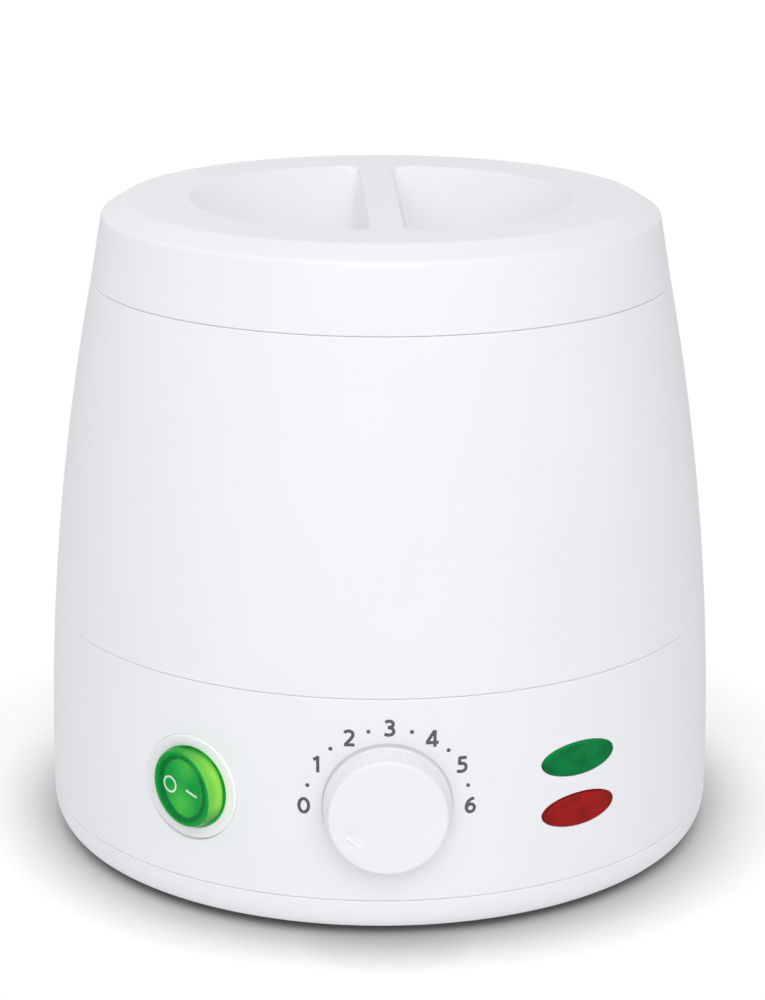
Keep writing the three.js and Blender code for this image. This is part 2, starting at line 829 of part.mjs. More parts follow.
function wellGasket() {
  const inner = deckOpening + gasketInset;
  const outer = wellFlangeRadius - gasketInset;
  const top = gasketBottom + gasketThickness;
  return revolved([[inner, gasketBottom], [outer, gasketBottom], [outer, top], [inner, top]], innerSegments);
}

function waxPot() {
  const rimMiddle = (potRimBottom + potRimTop) / 2;
  const floorTop = potBottom + potWall;
  return revolved([
    [0, potBottom], [potBottomRadius - potCorner, potBottom], [potBottomRadius, potBottom + potCorner],
    [potTopRadius, potRimBottom], [potRimRadius, potRimBottom], [potRimRadius + potRimRoll, rimMiddle],
    [potRimRadius, potRimTop], [potTopRadius, potRimTop], [potTopRadius - potWall, potRimTop - potWall],
    [potBottomRadius - potWall, floorTop + potCorner], [potBottomRadius - potWall - potCorner, floorTop],
    [0, floorTop],
  ], innerSegments);
}

/* An upright ear on the pot's rim, with the hole for the bail. */
function potEar(side) {
  const radius = earWidth / 2;
  const shape = new THREE.Shape()
    .moveTo(-radius, earBottom)
    .lineTo(radius, earBottom)
    .lineTo(radius, bailHeight - radius / 2)
    .absarc(0, bailHeight - radius / 2, radius, 0, Math.PI, false);
  shape.holes.push(new THREE.Path().absarc(0, bailHeight, bailWire + slack, 0, 2 * Math.PI, true));
  const plate = prism(shape, -earThickness / 2, earThickness / 2);
  return plate.rotateX(Math.PI / 2).rotateZ(Math.PI / 2).translate(side * earPlace, 0, 0);
}

/* The wire handle, folded back over the rim. */
function potBail() {
  const inner = earPlace - bailEnd;
  const bend = bailRadius - bailCorner / 3;
  const arc = [8, 20, 35, 50, 65, 80, 90].map((degrees) => [
    bailRadius * Math.cos(radians(degrees)),
    bailRadius * Math.sin(radians(degrees)),
    0,
  ]);
  const half = [[inner, 0, 0], [earPlace, 0, 0], [bend, bailCorner / 3, 0], ...arc];
  const other = half.slice(0, -1).reverse().map(([x, y, z]) => [-x, y, z]);
  const loop = wire([...half, ...other], bailWire, 40, bailSides);
  return loop.rotateX(-radians(bailDroopDegrees)).translate(0, 0, bailHeight);
}

/* A ring sector with its gap at the back. */
function splitRing(inner, outer, gapDegrees, from, to) {
  const start = Math.PI / 2 + radians(gapDegrees / 2);
  const end = Math.PI / 2 - radians(gapDegrees / 2) + 2 * Math.PI;
  const shape = new THREE.Shape()
    .absarc(0, 0, outer, start, end, false)
    .absarc(0, 0, inner, end, start, true);
  return prism(shape, from, to, innerSegments / 2);
}

/* Middle of the clamp screw, and half the clear gap between its tabs. */
function clampPlace() {
  const inner = wellOuter + fit;
  const outer = heaterOuter;
  return {
    inner,
    outer,
    half: inner * Math.sin(radians(heaterGapDegrees / 2)),
    y: outer + heaterTabReach - clampSetback,
    z: (heaterBottom + heaterTop) / 2,
  };
}

function bandHeater() {
  const { inner, outer, half, y, z } = clampPlace();
  const ring = solid(splitRing(inner, outer, heaterGapDegrees, heaterBottom, heaterTop));
  const tabs = [-1, 1].map((side) => {
    const length = outer + heaterTabReach - inner;
    const shape = rectangle(heaterThickness, length, side * (half + heaterThickness / 2), inner + length / 2);
    return solid(prism(shape, z - heaterTabHeight / 2, z + heaterTabHeight / 2));
  });
  const hole = prism(circle(clampRadius + slack), -2 * half - overrun, 2 * half + overrun)
    .rotateY(Math.PI / 2)
    .translate(0, y, z);
  return cut(joined(ring, ...tabs), solid(hole));
}

function clampScrew() {
  const { half, y, z } = clampPlace();
  const face = half + heaterThickness + fit;
  const profile = [
    [0, -face - clampHeadHeight], [clampHeadRadius, -face - clampHeadHeight], [clampHeadRadius, -face],
    [clampRadius, -face], [clampRadius, face + 2 * clampHeadHeight], [0, face + 2 * clampHeadHeight],
  ];
  return revolved(profile, smallSegments).rotateY(Math.PI / 2).translate(0, y, z);
}

function clampNut() {
  const { half, y, z } = clampPlace();
  const face = half + heaterThickness + fit;
  const shape = hexagon(clampHeadRadius + slack);
  shape.holes.push(new THREE.Path().absarc(0, 0, clampRadius + fit, 0, 2 * Math.PI, true));
  return prism(shape, face, face + clampHeadHeight).rotateY(Math.PI / 2).translate(0, y, z);
}

function wellStrap() {
  const length = 2 * (bossOrbit + strapEnd);
  const plate = solid(prism(slot(length, strapWidth), strapBottom, strapTop));
  const eye = solid(prism(circle(cutoutDiscRadius + strapEyeWall), strapBottom, strapTop));
  const centre = solid(prism(circle(cutoutDiscRadius + fit), strapBottom - overrun, strapTop + overrun));
  const ends = strapPostAzimuths.map((a) =>
    screwHole(a, bossOrbit, strapBottom - overrun, strapTop + overrun));
  return cut(joined(plate, eye), centre, ...ends);
}

/* Over-temperature cutout: a disc pressed to the well's floor through the strap. */
function thermalCutout() {
  const flangeTopFace = strapBottom - fit;
  const flangeFoot = flangeTopFace - strapThickness;
  const canFoot = flangeFoot - cutoutCanHeight;
  const disc = solid(prism(circle(cutoutDiscRadius), flangeFoot, strapTop));
  const flange = solid(prism(slot(cutoutFlangeLength, cutoutFlangeWidth), flangeFoot, flangeTopFace));
  const can = solid(prism(circle(cutoutCanRadius), canFoot, flangeFoot + strapThickness / 2));
  const tabs = [-1, 1].map((side) => {
    const shape = rectangle(tabThickness, tabWidth, (side * cutoutCanRadius) / 2);
    return solid(prism(shape, canFoot - tabLength, canFoot + tabLength / 2));
  });
  return joined(disc, flange, can, ...tabs);
}

/* Thermostat with its shaft, nut, sensor bulb and capillary. */

function thermostatBody() {
  const box = solid(outwards(
    prism(rectangle(thermostatWidth, thermostatHeight), thermostatFront - thermostatDepth, thermostatFront),
    0,
    controlHeight,
  ));
  const bushingEnd = thermostatSpot + fit + nutHeight + bushingReach / 3;
  const bushing = solid(outwards(
    prism(circle(bushingRadius), thermostatFront - fit, bushingEnd), 0, controlHeight));
  const bore = solid(outwards(
    prism(circle(shaftRadius + slack), thermostatFront - shaftTail, bushingEnd + overrun), 0, controlHeight));
  return cut(joined(box, bushing), bore);
}

function thermostatNut() {
  const bottom = thermostatSpot + fit;
  const shape = hexagon(nutRadius);
  shape.holes.push(new THREE.Path().absarc(0, 0, bushingRadius + fit, 0, 2 * Math.PI, true));
  return outwards(prism(shape, bottom, bottom + nutHeight), 0, controlHeight);
}

function thermostatShaft() {
  const from = thermostatFront - shaftTail + fit;
  const to = knobBoreEnd - fit;
  const hubFoot = thermostatSpot + fit + nutHeight + fit;
  const rod = solid(prism(circle(shaftRadius), from, to));
  const flat = rectangle(2 * shaftRadius, shaftRadius, 0, shaftFlat + shaftRadius / 2);
  return outwards(geometryOf(cut(rod, solid(prism(flat, hubFoot, to + overrun)))), 0, controlHeight);
}

function sensorBulb() {
  const half = bulbLength / 2;
  const profile = [
    [0, -half], [bulbRadius - bulbRadius / 3, -half], [bulbRadius, -half + bulbRadius / 3],
    [bulbRadius, half - bulbRadius / 3], [bulbRadius - bulbRadius / 3, half], [0, half],
  ];
  const away = wellOuter + fit + bulbRadius;
  return revolved(profile, smallSegments).rotateY(Math.PI / 2).translate(0, -away, bulbHeight);
}

/* A saddle of sheet round the bulb, with a foot above and below on the well. */
function bulbClip() {
  const back = -(wellOuter + fit);
  const middle = back - bulbRadius;
  const inner = bulbRadius + fit;
  const outer = inner + clipThickness;
  const reach = outer + clipFoot;
  const shape = new THREE.Shape()
    .moveTo(back, bulbHeight + reach)
    .lineTo(back - clipThickness, bulbHeight + reach)
    .lineTo(back - clipThickness, bulbHeight + outer)
    .lineTo(middle, bulbHeight + outer)
    .absarc(middle, bulbHeight, outer, Math.PI / 2, 1.5 * Math.PI, false)
    .lineTo(back - clipThickness, bulbHeight - outer)
    .lineTo(back - clipThickness, bulbHeight - reach)
    .lineTo(back, bulbHeight - reach)
    .lineTo(back, bulbHeight - inner)
    .lineTo(middle, bulbHeight - inner)
    .absarc(middle, bulbHeight, inner, 1.5 * Math.PI, Math.PI / 2, true)
    .lineTo(back, bulbHeight + inner);
  return prism(shape, -clipWidth / 2, clipWidth / 2).rotateX(Math.PI / 2).rotateZ(Math.PI / 2);
}

/* Knob: a ribbed, tapered cup with a hub for the shaft and a thumb dimple as its pointer. */
function controlKnob() {
  const neck = knobFace - knobEdgeRound;
  const faceEdge = knobFaceRadius - knobEdgeRound;
  const plate = knobFace - knobFacePlate;
  const hubFoot = thermostatSpot + fit + nutHeight + fit + bushingReach / 3;
  const outline = [
    [0, knobFace], [faceEdge, knobFace],
    [faceEdge + knobEdgeRound * Math.SQRT1_2, neck + knobEdgeRound * Math.SQRT1_2],
    [knobFaceRadius, neck],
    [knobBaseRadius, knobBack], [knobBaseRadius - knobSkin, knobBack],
    [knobFaceRadius - knobSkin, plate], [knobHubRadius, plate], [knobHubRadius, hubFoot], [0, hubFoot],
  ];
  const cup = revolved(outline, 2 * knobRibs);
  const place = cup.attributes.position;
  for (let i = 0; i < place.count; i++) {
    const radius = Math.hypot(place.getX(i), place.getY(i));
    const turn = Math.round((Math.atan2(place.getY(i), place.getX(i)) / Math.PI) * knobRibs);
    const onSide = radius > knobFaceRadius - weld;
    const share = onSide && turn % 2 !== 0 ? 1 - knobRibDepth / radius : 1;
    place.setXY(i, place.getX(i) * share, place.getY(i) * share);
  }
  const ball = (pointerRadius ** 2 + pointerDepth ** 2) / (2 * pointerDepth);
  const dimple = new THREE.SphereGeometry(ball, 20, 40).rotateX(Math.PI / 2).translate(
    pointerOrbit * Math.cos(radians(pointerAzimuth)),
    pointerOrbit * Math.sin(radians(pointerAzimuth)),
    knobFace + ball - pointerDepth,
  );
  const bore = prism(circle(shaftRadius + fit), hubFoot - overrun, knobBoreEnd);
  const body = cut(solid(cup), solid(dimple), solid(bore));
  return outwards(geometryOf(body), 0, controlHeight);
}

/* Rocker switch */

function switchBody() {
  const back = switchSeat - barrelDepth;
  const seat = switchSeat + fit;
  const round = bezelRound;
  const profile = [
    [0, back], [barrelRadius, back], [barrelRadius, seat], [bezelRadius, seat],
    [bezelRadius, bezelFace - round], [bezelRadius - round, bezelFace],
    [rockerHole + round / 2, bezelFace], [rockerHole, bezelFace - round / 2],
    [rockerHole, bezelFace - rockerHoleDepth], [0, bezelFace - rockerHoleDepth],
  ];
  return outwards(revolved(profile, innerSegments), switchAzimuth, switchHeight);
}

/* The rocker, modelled level at its pivot and then tipped to its off side. */
function switchRocker() {
  const rim = rockerRim;
  const dish = rockerRadius - rockerRimWidth;
  const drum = solid(revolved([
    [0, -rockerSkirt], [rockerRadius, -rockerSkirt], [rockerRadius, rim - rockerRound],
    [rockerRadius - rockerRound, rim], [dish, rim], [dish - rockerDish, rim - rockerDish],
    [0, rim - rockerDish],
  ], innerSegments));
  const keel = solid(prism(rectangle(keelWidth, keelHeight), -rockerSkirt - keelDepth, 0));
  const body = geometryOf(joined(drum, keel)).rotateX(Math.PI / 2).rotateZ(-radians(rockerTilt));
  return body.translate(0, -bezelFace, switchHeight).rotateZ(radians(switchAzimuth));
}

/* One of the blades at the back of the switch. */
function switchBlade(place) {
  const to = switchSeat - barrelDepth - fit;
  const shape = rectangle(tabWidth, tabThickness, 0, place * bladePitch);
  return outwards(prism(shape, to - bladeLength, to), switchAzimuth, switchHeight);
}

/* Indicator lamps */

function lens(height) {
  const front = core(-lampProud, 0, baseTop);
  const behind = core(shellWall + fit, 0, baseTop);
  const window = lampCutter(height, 0).intersect(front);
  const flange = lampCutter(height, lampFlange).intersect(behind);
  return joined(window, flange);
}

function lampHolder() {
  const front = lampBack - fit;
  const shape = slot(holderHeight, holderWidth);
  for (const offset of [-pegOrbit, pegOrbit]) {
    shape.holes.push(new THREE.Path().absarc(offset, 0, pegRadius + fit, 0, 2 * Math.PI, true));
  }
  for (const offset of [-lampPitch / 2, lampPitch / 2]) {
    shape.holes.push(new THREE.Path().absarc(offset, 0, neonRadius + fit, 0, 2 * Math.PI, true));
  }
  const plate = prism(shape, front - holderThickness, front).rotateZ(Math.PI / 2);
  return outwards(plate, lampAzimuth, lampMiddle);
}

function neonBulb(height) {
  const front = lampBack - fit;
  const profile = [
    [0, front - neonLength], [neonRadius, front - neonLength], [neonRadius, front - neonRadius],
    [neonRadius * Math.SQRT1_2, front - neonRadius * (1 - Math.SQRT1_2)], [0, front],
  ];
  return outwards(revolved(profile, smallSegments), lampAzimuth, height);
}

/* Cable gland, its nut, and the terminal block */

function cordGland() {
  const seat = glandSpot + fit;
  const shoulder = (glandFace + seat + glandFlangeHeight) / 2;
  const profile = [
    [glandBore, glandTail], [glandThread, glandTail], [glandThread, seat], [glandFlange, seat],
    [glandFlange, seat + glandFlangeHeight],
    [(glandFlange + glandFaceRadius) / 2, shoulder + glandFlangeHeight / 4],
    [glandFaceRadius, glandFace], [glandBore, glandFace],
  ];
  return outwards(revolved(profile, 2 * smallSegments), glandAzimuth, glandHeight);
}

function glandNut() {
  const to = glandPad - fit;
  const shape = hexagon(seatRadius);
  shape.holes.push(new THREE.Path().absarc(0, 0, glandThread + fit, 0, 2 * Math.PI, true));
  return outwards(prism(shape, to - glandNutHeight, to), glandAzimuth, glandHeight);
}

function terminalBlock() {
  const top = blockBottom + blockHeight;
  const box = solid(prism(rectangle(blockLength, blockWidth, 0, blockPlace), blockBottom, top - blockRib));
  const rail = solid(prism(rectangle(blockLength, blockWidth / 3, 0, blockPlace), blockBottom, top));
  const hole = screwHole(180, blockPlace, blockBottom - overrun, top + overrun);
  const seat = top - screwHeadHeight - blockRib;
  const recess = post(screwHeadRadius + fit, 180, blockPlace, seat, top + overrun);
  return cut(joined(box, rail), hole, recess);
}

/* The block's screw, head up, into the post under it. */
function blockScrew() {
  const seat = blockBottom + blockHeight - screwHeadHeight - blockRib + fit;
  const tip = plateTop + fit;
  const profile = [
    [0, tip], [screwRadius, tip + screwRadius], [screwRadius, seat], [screwHeadRadius, seat],
    [screwHeadRadius, seat + screwHeadHeight / 2], [screwHeadRadius / 2, seat + screwHeadHeight],
    [0, seat + screwHeadHeight],
  ];
  return revolved(profile, smallSegments).translate(0, blockPlace, 0);
}

/* Leads inside the base and the thin tube to the bulb */

/* The ends of the leads, on the pieces that they join. */
function leadEnds() {
  const blockMiddle = blockBottom + blockHeight / 2;
  const blockEnd = blockLength / 2 + leadGap;
  const bladeTip = switchSeat - barrelDepth - fit - bladeLength - leadGap;
  const turn = radians(switchAzimuth);
  const blade = (place) =>
    [bladeTip * Math.sin(turn), -bladeTip * Math.cos(turn), switchHeight + place * bladePitch];
  const back = -(thermostatFront - thermostatDepth - leadGap);
  const thermostat = (side) => [(side * thermostatWidth) / 4, back, controlHeight + tabWidth / 3];
  const cutoutFoot = strapBottom - fit - strapThickness - cutoutCanHeight - tabLength;
  const cutout = (side) => [(side * cutoutCanRadius) / 2, 0, cutoutFoot - leadGap];
  const band = (wellOuter + fit + heaterOuter) / 2;
  const heater = (side) => [
    side * band * Math.sin(radians(heaterLeadDegrees)),
    band * Math.cos(radians(heaterLeadDegrees)),
    heaterBottom - leadGap,
  ];
  const block = (side) => [side * blockEnd, blockPlace, blockMiddle];
  return {
    supply: [block(-1), blade(1)],
    switched: [blade(0), thermostat(-1)],
    thermostat: [thermostat(1), cutout(1)],
    heater: [cutout(-1), heater(-1)],
    return: [block(1), heater(1)],
  };
}

/* Each row: how far along from end to end, then how many bows aside along X, Y and Z. */
const leadBowShares = {
  supply: [
    [0, -0.86, -0.2, 0.04], [0.27, -1.78, 0.21, -0.09], [0.54, -1.69, 0.22, 0.08],
    [0.77, -0.65, 0.14, 0.25], [0.88, 0.26, 0.06, 0.28], [1, 0.31, 0.47, 0],
  ],
  switched: [[0, 0.31, 0.47, 0], [0.04, 0.73, 0.81, 0], [0.41, 0.74, 0.83, 0.07], [1, 0, 0.77, 0]],
  thermostat: [
    [0, 0, 0.77, -0.1], [0.45, 0.14, -0.01, -0.6], [0.76, 0.13, 0.02, -0.89], [1, 0.05, -0.3, -0.64],
  ],
  heater: [
    [0, 0, 0.2, -0.59], [0.14, -0.09, 0.69, -1.2], [0.44, -0.19, 0.96, -1.69], [0.77, -0.17, 1.08, -1.87],
    [0.97, -0.09, 0.81, -1.46], [1, -0.04, 0.56, -0.75], [1, 0, 0.19, -0.32],
  ],
  return: [
    [0, 0.56, 0.05, 0.14], [0.26, 0.75, 0.46, -0.13], [0.53, 0.45, 0.92, -0.25],
    [0.74, 0.15, 1, -0.28], [0.88, 0.06, 0.71, -0.16], [1, 0, 0.19, -0.32],
  ],
};
const capillaryBowShares = [
  [0, 0.1, -0.05, 0.43], [0.69, 0.16, -0.41, 0.05], [1, 0.67, -0.37, -0.05], [1, 0.97, -0.16, 0],
  [1, 0.67, 0, 0],
];

/* The points of a lead from one end to the other. */
function bowed([start, end], bowShares) {
  const between = bowShares.map(([along, ...aside]) =>
    start.map((value, i) => value + along * (end[i] - value) + leadBow * aside[i]));
  return [start, ...between, end];
}

/* The thin tube from the thermostat up to the bulb. */
function capillaryTube() {
  const start = [
    thermostatWidth / 4, -(thermostatFront - thermostatDepth / 2), controlHeight + thermostatHeight / 2 + fit,
  ];
  const end = [bulbLength / 2 + fit, -(wellOuter + fit + bulbRadius), bulbHeight];
  return wire(bowed([start, end], capillaryBowShares), capillaryRadius, 18);
}

/* The whole warmer */

piece("lid_shell", "shell", lidShell());
piece("upper_housing", "shell", upperHousing());
piece("base_housing", "shell", baseHousing());
piece("bottom_cover", "shell", bottomCover());
piece("wax_pot", "aluminium", waxPot());
piece("pot_ear_left", "aluminium", potEar(-1));
piece("pot_ear_right", "aluminium", potEar(1));
piece("pot_bail", "steel", potBail());
piece("heating_well", "aluminium", heatingWell());
piece("well_gasket", "silicone", wellGasket());
piece("band_heater", "steel", bandHeater());
piece("band_clamp_screw", "steel", clampScrew());
piece("band_clamp_nut", "steel", clampNut());
piece("insulation_blanket", "blanket", splitRing(
  heaterOuter + fit, blanketOuter, blanketGapDegrees, blanketBottom, blanketTop));
piece("well_strap", "steel", wellStrap());
piece("thermal_cutout", "ceramic", thermalCutout());
piece("control_knob", "shell", controlKnob());
piece("thermostat_body", "steel", thermostatBody());
piece("thermostat_nut", "brass", thermostatNut());
piece("thermostat_shaft", "steel", thermostatShaft());
piece("sensor_bulb", "brass", sensorBulb());
piece("bulb_clip", "steel", bulbClip());
piece("capillary_tube", "brass", capillaryTube());
piece("switch_body", "bezel", switchBody());
piece("switch_rocker", "rocker", switchRocker());
for (const [name, place] of [["line", 1], ["load", 0], ["neutral", -1]]) {
  piece(`switch_blade_${name}`, "brass", switchBlade(place));
}
const [greenHeight, redHeight] = lampHeights();
piece("green_lens", "green", lens(greenHeight));
piece("red_lens", "red", lens(redHeight));
piece("lamp_holder", "inner", lampHolder());
piece("neon_bulb_green", "neon", neonBulb(greenHeight));
piece("neon_bulb_red", "neon", neonBulb(redHeight));
piece("cord_gland", "inner", cordGland());
piece("gland_nut", "inner", glandNut());
piece("terminal_block", "ceramic", terminalBlock());
piece("terminal_block_screw", "steel", blockScrew());

const corners = ["front_right", "back_right", "back_left", "front_left"];
footAzimuths.forEach((a, i) => piece(`rubber_foot_${corners[i]}`, "rubber", foot(a)));
coverBossAzimuths.forEach((a, i) => piece(
  `cover_screw_${corners[i]}`, "steel",
  screw(a, coverBossOrbit, plateBottom + screwRecess - fit, plateTop + screwReach - fit)));
housingBossAzimuths.forEach((a, i) => piece(
  `housing_screw_${corners[i]}`, "steel",
  screw(a, bossOrbit, lugTop - lugThickness - fit, lugTop + screwReach)));
["right", "left"].forEach((name, i) => piece(
  `strap_screw_${name}`, "steel",
  screw(strapPostAzimuths[i], bossOrbit, strapBottom - fit, strapTop + screwReach - fit)));

for (const [name, ends] of Object.entries(leadEnds())) {
  const route = bowed(ends, leadBowShares[name]);
  piece(`lead_${name}`, "lead", wire(route, leadRadius, 2 * route.length));
}

export default warmer;
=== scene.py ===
"""The look of a tabletop wax warmer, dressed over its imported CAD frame.

Lengths are in millimetres up to the point where a mesh is made. The front faces -Y.
Azimuths are degrees round +Z from the front, positive towards +X.
"""

import math
from contextlib import contextmanager

import bmesh
import bpy
from mathutils import Matrix, Vector


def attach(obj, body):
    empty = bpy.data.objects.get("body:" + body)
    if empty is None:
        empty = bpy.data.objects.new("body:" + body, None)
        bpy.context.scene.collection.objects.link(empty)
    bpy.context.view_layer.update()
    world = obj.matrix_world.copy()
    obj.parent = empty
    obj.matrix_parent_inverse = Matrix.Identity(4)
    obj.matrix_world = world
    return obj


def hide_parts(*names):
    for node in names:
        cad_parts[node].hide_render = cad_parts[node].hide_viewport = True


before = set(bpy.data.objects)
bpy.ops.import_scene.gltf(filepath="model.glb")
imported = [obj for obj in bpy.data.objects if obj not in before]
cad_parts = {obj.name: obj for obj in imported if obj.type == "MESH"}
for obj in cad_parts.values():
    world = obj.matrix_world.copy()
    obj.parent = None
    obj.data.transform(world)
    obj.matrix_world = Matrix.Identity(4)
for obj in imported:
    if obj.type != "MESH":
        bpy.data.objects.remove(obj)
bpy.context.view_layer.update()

MM = 0.001

# ---- sizes, from the CAD and, for small forms, from the photograph

BODY_RADIUS = 76.55
WIDEST = 11.1
SIDE_ARC = 585.0
WALL = 2.4
PLATE_BOTTOM = 1.5
PLATE_TOP = 3.9
COVER_TOP = 8.6
BASE_TOP = 53.1
DECK_TOP = 121.8
LID_SEAT = 127.2
LID_TOP = 145.0
GAP = 0.025  # half of a visible seam
EDGE = 0.3  # rounding of a moulded edge
REST = 0.3  # how far pieces that rest on each other stand apart
LIP = 1.6  # thickness of the lips and the rib that centre the shells


def side(z):
    """Outer radius of the body at a height."""
    return BODY_RADIUS - SIDE_ARC + math.sqrt(SIDE_ARC**2 - (z - WIDEST) ** 2)


LID_FOOT = side(LID_SEAT + 0.15)
LID_BEVEL = LID_FOOT - 2.58
LID_FLAT = LID_BEVEL - 5.0
BEVEL_DROP = 3.0
LID_TURN = math.radians(0.65)
SCOOP_R = LID_FLAT - 14.5
SCOOP_DEPTH = 12.0
SCOOP_BOWL = 42.0  # how far in from its round edge a scoop is deepest
SCOOP_FORWARD = 0.8
BAR_HALF = 3.4
RIB_OUTER = LID_FOOT - 2.9
RIB_INNER = RIB_OUTER - LIP
FLANGE_R = RIB_INNER - 2.38
WELL_BORE = FLANGE_R - 8.0
WELL_OUTER = WELL_BORE + 1.5
DECK_HOLE = WELL_OUTER + 0.7
WELL_FLOOR = BASE_TOP - 1.7
POT_BOTTOM = WELL_FLOOR + REST
FLANGE_BOTTOM = DECK_TOP + 2.1
FLANGE_TOP = FLANGE_BOTTOM + 1.5
RIM_BOTTOM = FLANGE_TOP + REST
RIM_TOP = RIM_BOTTOM + 2.4
POT_TOP_R = WELL_BORE - 1.6
POT_BOTTOM_R = POT_TOP_R - 0.8
RIM_R = POT_TOP_R + 3.0
EAR_PLACE = (POT_TOP_R + RIM_R) / 2
EAR_BOTTOM = RIM_TOP + REST
BAIL_Z = EAR_BOTTOM + 3.4
BAIL_R = RIM_R + 1.6

BOSS_ORBIT = WELL_OUTER + 2.1 + 5.8 + 1.6 + 4.0
BOSS_R = 4.0
BORE_R = 1.8
LUG_TOP = BASE_TOP - 4.3
SCREW_ORBIT = 66.0
FOOT_ORBIT = BODY_RADIUS - 16.55
POST_ORBIT = BODY_RADIUS - 38.55
CORNERS = ("front_right", "back_right", "back_left", "front_left")
CORNER_AZIMUTHS = (45, 135, 225, 315)
SCREW_AZIMUTHS = (67, 113, 247, 293)

CONTROL = (COVER_TOP + BASE_TOP) / 2 - 0.95
CONTROL_SIDE = side(CONTROL)
KNOB_BACK = CONTROL_SIDE + 0.35
KNOB_FACE = CONTROL_SIDE + 6.6
KNOB_R = 13.45
KNOB_FACE_R = 12.45
DIMPLE_AZIMUTH = math.radians(213)
DIMPLE_ORBIT = KNOB_FACE_R - 4.15
DIMPLE_X = DIMPLE_ORBIT * math.cos(DIMPLE_AZIMUTH)
DIMPLE_Y = DIMPLE_ORBIT * math.sin(DIMPLE_AZIMUTH)
SWITCH_AZ = -33.2
SWITCH_Z = CONTROL - 0.5
SWITCH_SEAT = CONTROL_SIDE - 1.95
BEZEL_FACE = SWITCH_SEAT + 1.7
BEZEL_R = 11.65
ROCKER_HOLE = 8.95
HOLE_FLOOR = BEZEL_FACE - 8.6
ROCKER_R = 8.6
RIM_Z = 2.85
RIM_INSIDE = 6.9
DISH_Z = 2.0
FACE_SHIFT = (0.25, 0.5)  # how far the rocker's face leans off its base
DISH_CENTRE = (-0.45, 0.55)
LAMP_AZ = 32.6
LAMP_Z = CONTROL + 0.1
LAMP_PITCH = 11.4
UPPER_LAMP = LAMP_Z + LAMP_PITCH / 2
LOWER_LAMP = LAMP_Z - LAMP_PITCH / 2
LAMP_L = 19.1
LAMP_H = 7.35
LAMP_BACK = side(LAMP_Z) - 6.25
GLAND_Z = COVER_TOP + 13.4
GLAND_SPOT = side(GLAND_Z) - 0.85
GLAND_FACE = side(GLAND_Z) + 6.55

# ---- outlines and shapes


def rounded(points, closed=True, steps=6):
    """A profile whose corners (x, y, radius) are rounded."""
    out, count = [], len(points)
    for i, point in enumerate(points):
        radius = point[2] if len(point) == 3 else 0
        here = Vector(point[:2])
        if not radius or (not closed and i in (0, count - 1)):
            out.append(tuple(here))
            continue
        a = (Vector(points[i - 1][:2]) - here).normalized()
        b = (Vector(points[(i + 1) % count][:2]) - here).normalized()
        half = a.angle(b) / 2
        if half > math.pi / 2 - 0.002:
            out.append(tuple(here))
            continue
        centre = here + (a + b).normalized() * radius / math.sin(half)
        start = here + a * radius / math.tan(half) - centre
        end = here + b * radius / math.tan(half) - centre
        first = math.atan2(start.y, start.x)
        swing = (math.atan2(end.y, end.x) - first + math.pi) % (2 * math.pi) - math.pi
        out += arc(radius, first, first + swing, steps, centre.x, centre.y)
    return out


def arc(radius, first, last, steps, x=0.0, y=0.0):
    """Points on an arc with both of its ends."""
    angles = [first + (last - first) * i / steps for i in range(steps + 1)]
    return [(x + radius * math.cos(a), y + radius * math.sin(a)) for a in angles]


def ellipse(a, b, count, x=0.0, y=0.0):
    turns = [2 * math.pi * i / count for i in range(count)]
    return [(x + a * math.cos(t), y + b * math.sin(t)) for t in turns]


def ring_of(radius, count, x=0.0, y=0.0):
    return ellipse(radius, radius, count, x, y)


def slot_outline(length, width, y=0.0, steps=12):
    right = arc(width / 2, -math.pi / 2, math.pi / 2, steps, (length - width) / 2, y)
    return right + [(-x, 2 * y - b) for x, b in right]


def side_points(low, high, inset, steps):
    """Points up or down the body's side."""
    heights = [low + (high - low) * i / steps for i in range(steps + 1)]
    return [(side(z) - inset, z) for z in heights]


def smooth_path(points, per=14):
    """Points of a Catmull-Rom curve through the given ones."""
    out = []
    ends = [2 * points[0] - points[1], *points, 2 * points[-1] - points[-2]]
    for i in range(1, len(ends) - 2):
        p0, p1, p2, p3 = ends[i - 1:i + 3]
        for k in range(per):
            t = k / per
            out.append(0.5 * ((2 * p1) + (p2 - p0) * t + (2 * p0 - 5 * p1 + 4 * p2 - p3) * t * t
                              + (3 * p1 - p0 - 3 * p2 + p3) * t**3))
    return [*out, points[-1]]


def denser(profile, parts_of):
    """A profile whose lines are divided into as many parts as parts_of(start, end) says."""
    out = [profile[0]]
    for a, b in zip(profile, profile[1:]):
        steps = max(1, int(parts_of(a, b)))
        out += [tuple(Vector(a).lerp(Vector(b), k / steps)) for k in range(1, steps + 1)]
    return out


def fan(centre, ring):
    return [[centre, a, b] for a, b in zip(ring, [*ring[1:], ring[0]])]


def bridge(low, high):
    """Quads between two closed rings of vertices."""
    n = len(low)
    return [[low[i], low[(i + 1) % n], high[(i + 1) % n], high[i]] for i in range(n)]


def revolve(profile, segments=192, closed=True):
    """Vertices and faces of a profile of (radius, height) turned round Z."""
    verts, rings = [], []
    for r, z in profile:
        if r < 1e-6:
            rings.append([len(verts)] * segments)
            verts.append((0.0, 0.0, z))
            continue
        rings.append(list(range(len(verts), len(verts) + segments)))
        verts += [(r * math.sin(a), -r * math.cos(a), z)
                  for a in (2 * math.pi * i / segments for i in range(segments))]
    pairs = list(zip(rings, rings[1:]))
    if closed and not (profile[0][0] < 1e-6 and profile[-1][0] < 1e-6):
        pairs.append((rings[-1], rings[0]))
    quads = [list(dict.fromkeys(quad)) for low, high in pairs for quad in bridge(low, high)]
    return verts, [quad for quad in quads if len(quad) > 2]


